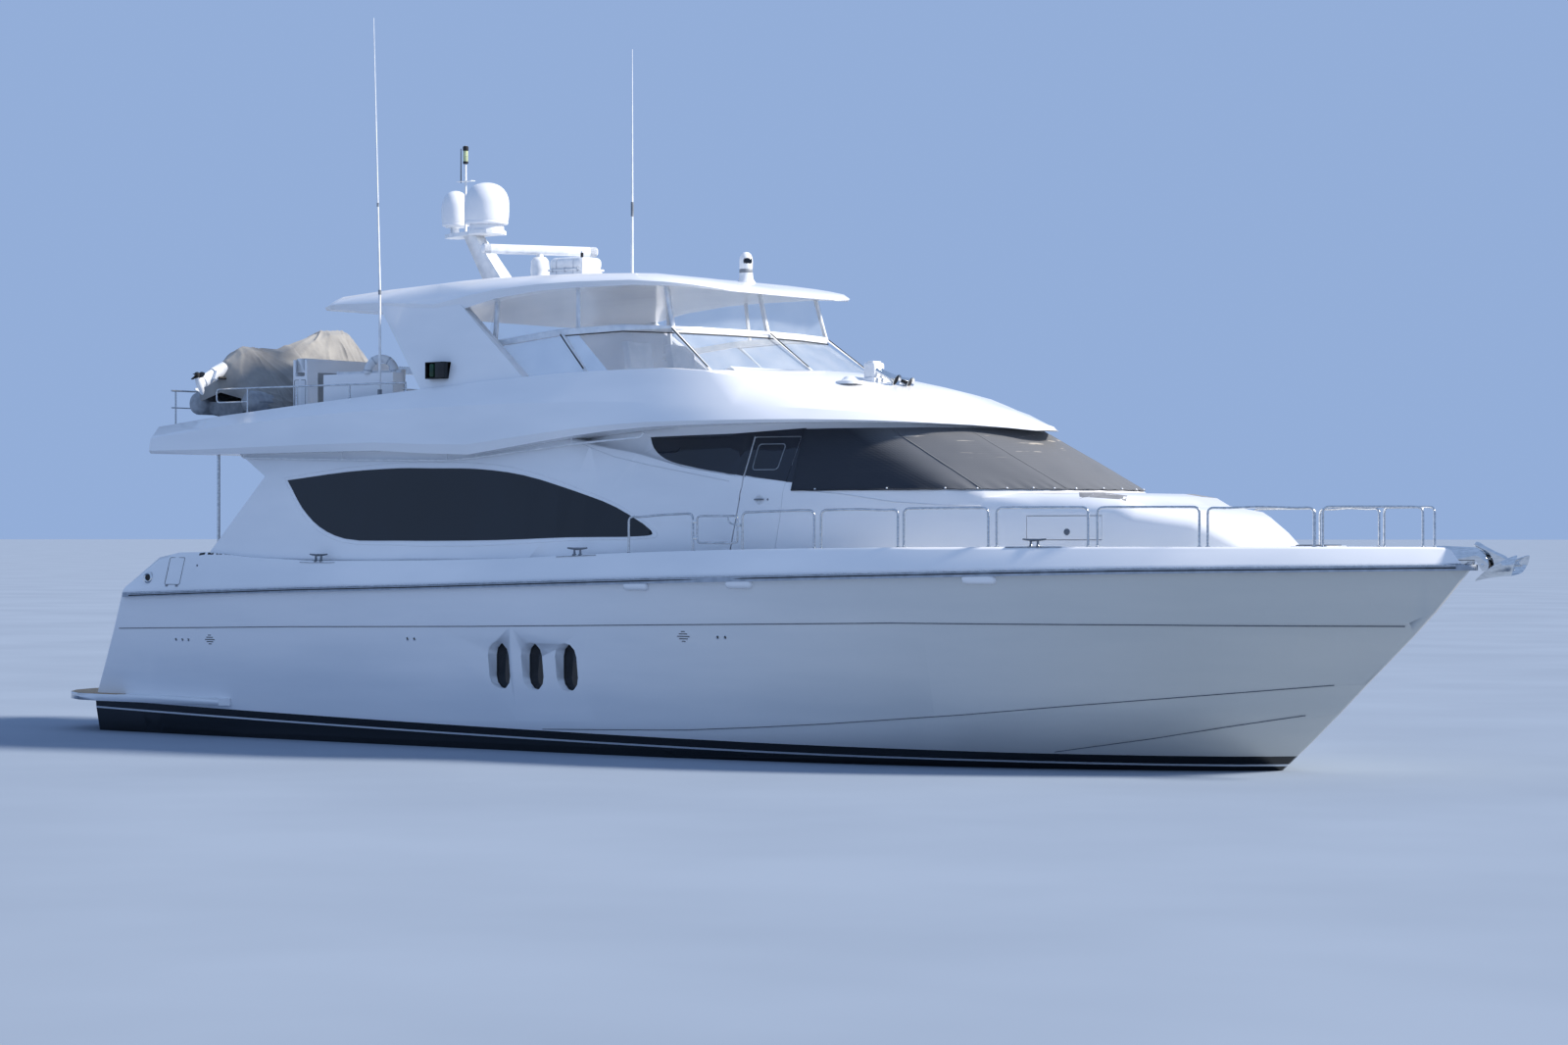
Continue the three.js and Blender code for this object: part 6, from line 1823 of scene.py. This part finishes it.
def coverTrim():
    # felled seams, the bound lower and end hems, and the white snaps
    cover, surface = screenCoverSheet()
    foot = screenPlan(screenCover["low"], 14)
    seams, snaps = bmesh.new(), bmesh.new()

    def outOf(p):
        near, normal = surface.find_nearest(p)[:2]
        return near, normal if normal.z > 0 or normal.dot(Vector((p.x - 3, p.y, 0))) > 0 else -normal

    for side, k in ((-1, 0), (-1, 1), (1, 1), (1, 0)):
        a, b = [Vector((x, side * y, z)) for x, y, z in screenCover["seams"][k]]
        path = []
        for i in range(25):
            near, normal = outOf(a.lerp(b, i / 24))
            path.append(near + normal * 0.0015)
        sweep(seams, path, 0.0045, sides=6, across=3.2)
    lower = []
    for k, p in enumerate(foot):
        near, normal = outOf(Vector((p.x, p.y, screenCover["low"] + 0.016)))
        lower.append(near + normal * 0.002)
        if k % 12 == 4:
            spun(snaps, [(0, 0.013), (0.008, 0.013), (0.013, 0.009), (0.0145, 0.0)], near + Vector((0, 0, 0.008)),
                 normal, sides=12)
    sweep(seams, lower, 0.006, sides=6, across=2.4)
    for end in (0, -1):
        path = []
        for i in range(14):
            z = screenCover["low"] + 0.01 + (screenCover["high"] - screenCover["low"] - 0.02) * i / 13
            p = screenPlan(z, 14)[end]
            near, normal = outOf(Vector((p.x + 0.014, p.y, z)))
            path.append(near + normal * 0.002)
        sweep(seams, path, 0.006, sides=6, across=2.4)
    band = fitShape(seams, "cover_seams", coverMesh, angle=60)
    buttons = fitShape(snaps, "cover_snaps", whitePlastic, angle=50)


coverTrim()
print("windscreen cover laced on")


# deckhouse: bead round the saloon glass, glass over the door frames, styling line, locker latch, coachroof treads

bandStrips = [  # outside corners of the dark band where it runs over white frames
    [(1.90, 4.005), (2.203, 3.958), (2.283, 4.574), (1.90, 4.556)],
    [(2.283, 4.504), (3.04, 4.504), (3.062, 4.618), (2.283, 4.574)],
    [(2.944, 3.868), (3.062, 3.858), (3.062, 4.506), (3.0245, 4.506)],
    [(0.56, 4.505), (1.92, 4.505), (1.92, 4.557), (0.56, 4.532)],
]
stylingLine = [(-0.54, 4.44), (-0.21, 4.323), (0.03, 4.25), (0.58, 4.132), (1.226, 4.014), (1.98, 3.885)]
stylingAft = [(3.05, 3.76), (3.87, 3.691), (4.64, 3.58), (5.33, 3.537), (5.84, 3.522)]
tread = [(6.98, 1.20), (7.62, 1.00), (7.78, 1.30), (7.20, 1.53)]
lidLatch = {"x": 7.07, "z": 3.17, "radius": 0.045}


def paneOutline(node, centre):
    # the pane's outer edge, in order round its middle
    held = {}
    for vert in nodes[node].data.vertices:
        key = (round(vert.co.x, 3), round(vert.co.z, 3))
        if key not in held or abs(vert.co.y) > abs(held[key].y):
            held[key] = vert.co.copy()
    return sorted(held.values(), key=lambda p: math.atan2(p.z - centre[1], p.x - centre[0]))


def deckhouseTrim(name, side):
    view = abeam(side)
    bead, band, line, metal = bmesh.new(), bmesh.new(), bmesh.new(), bmesh.new()
    rim = [p + Vector((0, side * 0.005, 0)) for p in paneOutline("saloon_window_" + name, (-2.9, 3.45))]
    sweep(bead, rim, 0.0075, sides=8, closed=True)
    middle = Vector((-2.9, 0, 3.45))
    lip = [p + Vector((p.x - middle.x, 0, (p.z - middle.z) * 3)).normalized() * 0.075 for p in rim]
    sweep(bead, onGround(house, [(p.x, p.z) for p in lip], view, -0.004), 0.011, sides=8, closed=True)
    glazed = reader("deckhouse", "pilothouse_window_" + name)
    for corners in bandStrips:
        patch(band, glazed, corners, 0.003, view, cells=(12, 6))
    # the styling lines are low proud strips in darker gelcoat: painted shade along the crease
    for table in (stylingLine, stylingAft):
        sweep(line, onGround(house, [tuple(p) for p in between(table, 0.1)], view, -0.0035), 0.008, sides=8,
              across=1.4)
    lid = reader("locker_lid_" + name)
    at, normal = meet(lid, *view(lidLatch["x"], lidLatch["z"]))
    r = lidLatch["radius"]
    spun(metal, [(0, 0.003), (r * 0.5, 0.003), (r * 0.55, 0.008), (r * 0.85, 0.008), (r, 0.0), (r * 0.95, -0.004)],
         at, normal, sides=28)
    fitShape(bead, "saloon_glass_bead_" + name, gelcoat, angle=60)
    fitShape(band, "pilothouse_glass_strips_" + name, houseGlass, angle=30)
    fitShape(line, "styling_line_" + name, paintedShadeGelcoat, angle=60)
    fitShape(metal, "locker_latch_" + name, deckMetal, angle=45, body="locker_lid_" + name)


def coachroofFittings():
    grip = bmesh.new()
    for side in (1, -1):
        patch(grip, house, [(x, side * y) for x, y in tread], 0.002, above, cells=(12, 8), skirt=0.004)
    fitShape(grip, "coachroof_treads", nonSkid, angle=30)


for name, side in sides.items():
    deckhouseTrim(name, side)
coachroofFittings()
print("deckhouse trimmed")


# bow: roller cheeks, plough anchor and windlass in polished stainless, and the foredeck hatch

roller = {"half": 0.085, "plate": 0.009, "pin": (12.345, 2.745), "wheel": 0.055}
cheek = [(11.70, 2.99), (12.22, 2.968), (12.308, 2.93), (12.383, 2.87), (12.42, 2.80), (12.432, 2.74), (12.42, 2.69),
         (12.383, 2.664), (12.335, 2.671), (12.296, 2.733), (12.259, 2.79), (12.15, 2.79), (11.98, 2.68),
         (11.78, 2.66), (11.70, 2.72)]
shank = [(12.19, 3.0), (12.225, 3.045), (12.27, 3.03), (12.33, 2.992), (12.465, 2.927), (12.62, 2.862), (12.70, 2.80),
         (12.62, 2.70), (12.47, 2.66), (12.44, 2.72), (12.391, 2.813), (12.32, 2.925), (12.22, 2.975)]
plough = {"tip": (12.193, 0, 2.538), "keel": (12.42, 0, 2.60), "wing": (12.46, 0.1125, 2.7685), "thick": 0.012,
          "rear": [(12.70, 0, 2.605), (12.79, 0.15, 2.64), (12.845, 0.205, 2.76), (12.886, 0.175, 2.885)]}
capstan = [(0, 0.291), (0.05, 0.291), (0.075, 0.28), (0.085, 0.262), (0.072, 0.235), (0.058, 0.20), (0.062, 0.165),
           (0.09, 0.145), (0.10, 0.13), (0.10, 0.10), (0.075, 0.088), (0.075, 0.05), (0.14, 0.042), (0.148, 0.03),
           (0.148, 0.0), (0, 0.0)]
hatch = {"x": (9.68, 10.22), "half": 0.28, "rim": 0.05, "frame": 0.012, "lens": 0.026}


def bow():
    plates = [shaped([(x, side * roller["half"], z) for x, z in cheek], (0, -side * roller["plate"], 0), 0.002)
              for side in (-1, 1)]
    plates.append(cubeAt((11.71, -roller["half"], 2.80), (12.24, roller["half"], 2.812), 0.002))
    plates.append(shaped([(x, -0.016, z) for x, z in shank], (0, 0.032, 0), 0.006))
    x, z = roller["pin"]
    across = (math.radians(90), 0, 0)
    plates += [tubeAt((x, side * (roller["half"] + 0.004), z), 0.022, 0.016, 0.003, across, 6) for side in (-1, 1)]
    blade, rear = bmesh.new(), [Vector(p) for p in plough["rear"]]
    grid = []
    for i in range(17):
        s = abs(i / 8 - 1) * 3
        n = min(int(s), 2)
        end = rear[n].lerp(rear[n + 1], s - n)
        pull = Vector(plough["keel"]).lerp(Vector(plough["wing"]), (s / 3) ** 1.5)
        flip = -1 if i < 8 else 1
        column = []
        for t in (0.02, 0.15, 0.3, 0.45, 0.6, 0.75, 0.88, 1.0):
            p = Vector(plough["tip"]) * (1 - t) ** 2 + pull * 2 * t * (1 - t) + end * t * t
            column.append(blade.verts.new((p.x, flip * p.y, p.z)))
        grid.append(column)
    panels(blade, grid)
    outward(blade)
    blade = lay(blade, "plough")
    modify(blade, "SOLIDIFY", thickness=plough["thick"], offset=0)
    modify(blade, "SUBSURF", levels=2, render_levels=2)
    fit(joined([blade] + plates, "bow_anchor"), chrome, ["anchor_roller"], angle=40)
    wheel = tubeAt((x, 0, z), roller["wheel"], roller["half"] * 1.8, 0.008, across)
    fit(wheel, blackPlastic, angle=40).name = "bow_roller"
    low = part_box("windlass")[0]
    gear = [turned(capstan, (10.9, 0, low[2])), cubeAt((10.70, 0.07, low[2]), (10.96, 0.148, low[2] + 0.12), 0.02)]
    fit(joined(gear, "windlass_drum"), chrome, ["windlass"], angle=40)
    (x0, x1), half, rim = hatch["x"], hatch["half"], hatch["rim"]
    top = meet(moulding, *above((x0 + x1) / 2, 0))[0].z
    coaming = cubeAt((x0, -half, top), (x1, half, top + hatch["frame"]), 0.005)
    lid = cubeAt((x0 + rim, rim - half, top + 0.008), (x1 - rim, half - rim, top + hatch["lens"]), 0.008)
    fit(coaming, satinAlloy, angle=40).name = "foredeck_hatch_frame"
    fit(lid, houseGlass, angle=30).name = "foredeck_hatch_lens"


bow()
print("bow gear made")


# aft deck and platform: teak, door frame and grip, the davit's door and the seat pad

teaked = {"platform_teak": ("swim_platform", 0.59, (-11.9, -9.9, 3.1)),
          "cockpit_teak": ("main_deck", 2.0, (-9.15, -6.86, 2.6))}
doorFrame = {"x": (-6.79, -6.765), "y": (-0.885, 0.01), "z": (2.06, 4.13), "bar": 0.05}
davitDoor = {"x": (-7.08, -6.86), "y": -1.87, "z": (5.12, 5.55)}
transomPad = {"x": (-9.31, -8.66), "z": (2.47, 2.55), "reach": 1.9, "inset": 0.12}


def teakLaid(name, node, floor, reach):
    # the top of a solid, cut to its area, drawn in from the edge and raised by the plank's thickness
    piece = welded([node], name)
    cuts = [((reach[0], 0, 0), (-1, 0, 0)), ((reach[1], 0, 0), (1, 0, 0)),
            ((0, -reach[2], 0), (0, -1, 0)), ((0, reach[2], 0), (0, 1, 0))]
    inEdit(piece, *[(bpy.ops.mesh.bisect, {"plane_co": at, "plane_no": way, "clear_outer": True}) for at,
                    way in cuts])
    shape = bmesh.new()
    shape.from_mesh(piece.data)
    bmesh.ops.delete(shape, geom=[f for f in shape.faces if f.normal.z < 0.9 or f.calc_center_median().z < floor],
                     context="FACES")
    shape.to_mesh(piece.data)
    shape.free()
    bpy.ops.object.mode_set(mode="EDIT")
    bpy.ops.mesh.select_all(action="SELECT")
    bpy.ops.mesh.dissolve_limited(angle_limit=0.02)
    bpy.ops.mesh.select_all(action="SELECT")
    bpy.ops.mesh.inset(thickness=0.05)
    bpy.ops.mesh.select_all(action="INVERT")
    bpy.ops.mesh.delete(type="FACE")
    bpy.ops.mesh.select_all(action="SELECT")
    bpy.ops.mesh.extrude_region_move(TRANSFORM_OT_translate={"value": (0, 0, 0.006)})
    bpy.ops.mesh.select_all(action="SELECT")
    bpy.ops.mesh.normals_make_consistent(inside=False)
    bpy.ops.object.mode_set(mode="OBJECT")
    fit(piece, teak, angle=30)


def aftDeck():
    for name, (node, floor, reach) in teaked.items():
        teakLaid(name, node, floor, reach)
    (x0, x1), (y0, y1), (z0, z1), wide = (doorFrame[k] for k in ("x", "y", "z", "bar"))
    bars = [cubeAt((x0, a, c), (x1, b, d), 0.004) for a, b, c, d in (
        (y0, y1, z0, z0 + wide), (y0, y1, z1 - wide, z1), (y0, y0 + wide, z0, z1), (y1 - wide, y1, z0, z1))]
    fit(joined(bars, "saloon_door_frame"), satinAlloy, angle=40, body="saloon_door")
    grip = [cubeAt((x0 - 0.003, y0 + 0.012, 2.95), (x0 + 0.002, y0 + 0.038, 3.30), 0.002)]
    fit(joined(grip, "saloon_door_grip"), steel, angle=40, body="saloon_door")
    (x0, x1), y, (z0, z1) = davitDoor["x"], davitDoor["y"], davitDoor["z"]
    # the davit's door is a greyer plate: painted shade on the davit column's starboard face
    fit(cubeAt((x0, y - 0.006, z0), (x1, y + 0.01, z1), 0.005), paintedShadeGelcoat, angle=40).name = "davit_door"
    seam = bmesh.new()
    edge = roundRect(x0 - 0.012, x1 + 0.012, z0 - 0.012, z1 + 0.012, 0.02, 3)
    sweep(seam, [Vector((u, y - 0.001, v)) for u, v in edge], 0.004, sides=6, closed=True)
    fitShape(seam, "davit_door_seam", seamAndShadowGrey, angle=60)
    low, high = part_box("transom_seat")
    (x0, x1), (z0, z1), reach, inset = (transomPad[k] for k in ("x", "z", "reach", "inset"))
    cushion("transom_pad", (x0, max(low[1], -reach) + inset, z0), (x1, min(high[1], reach) - inset, z1))


aftDeck()
print("aft deck dressed")
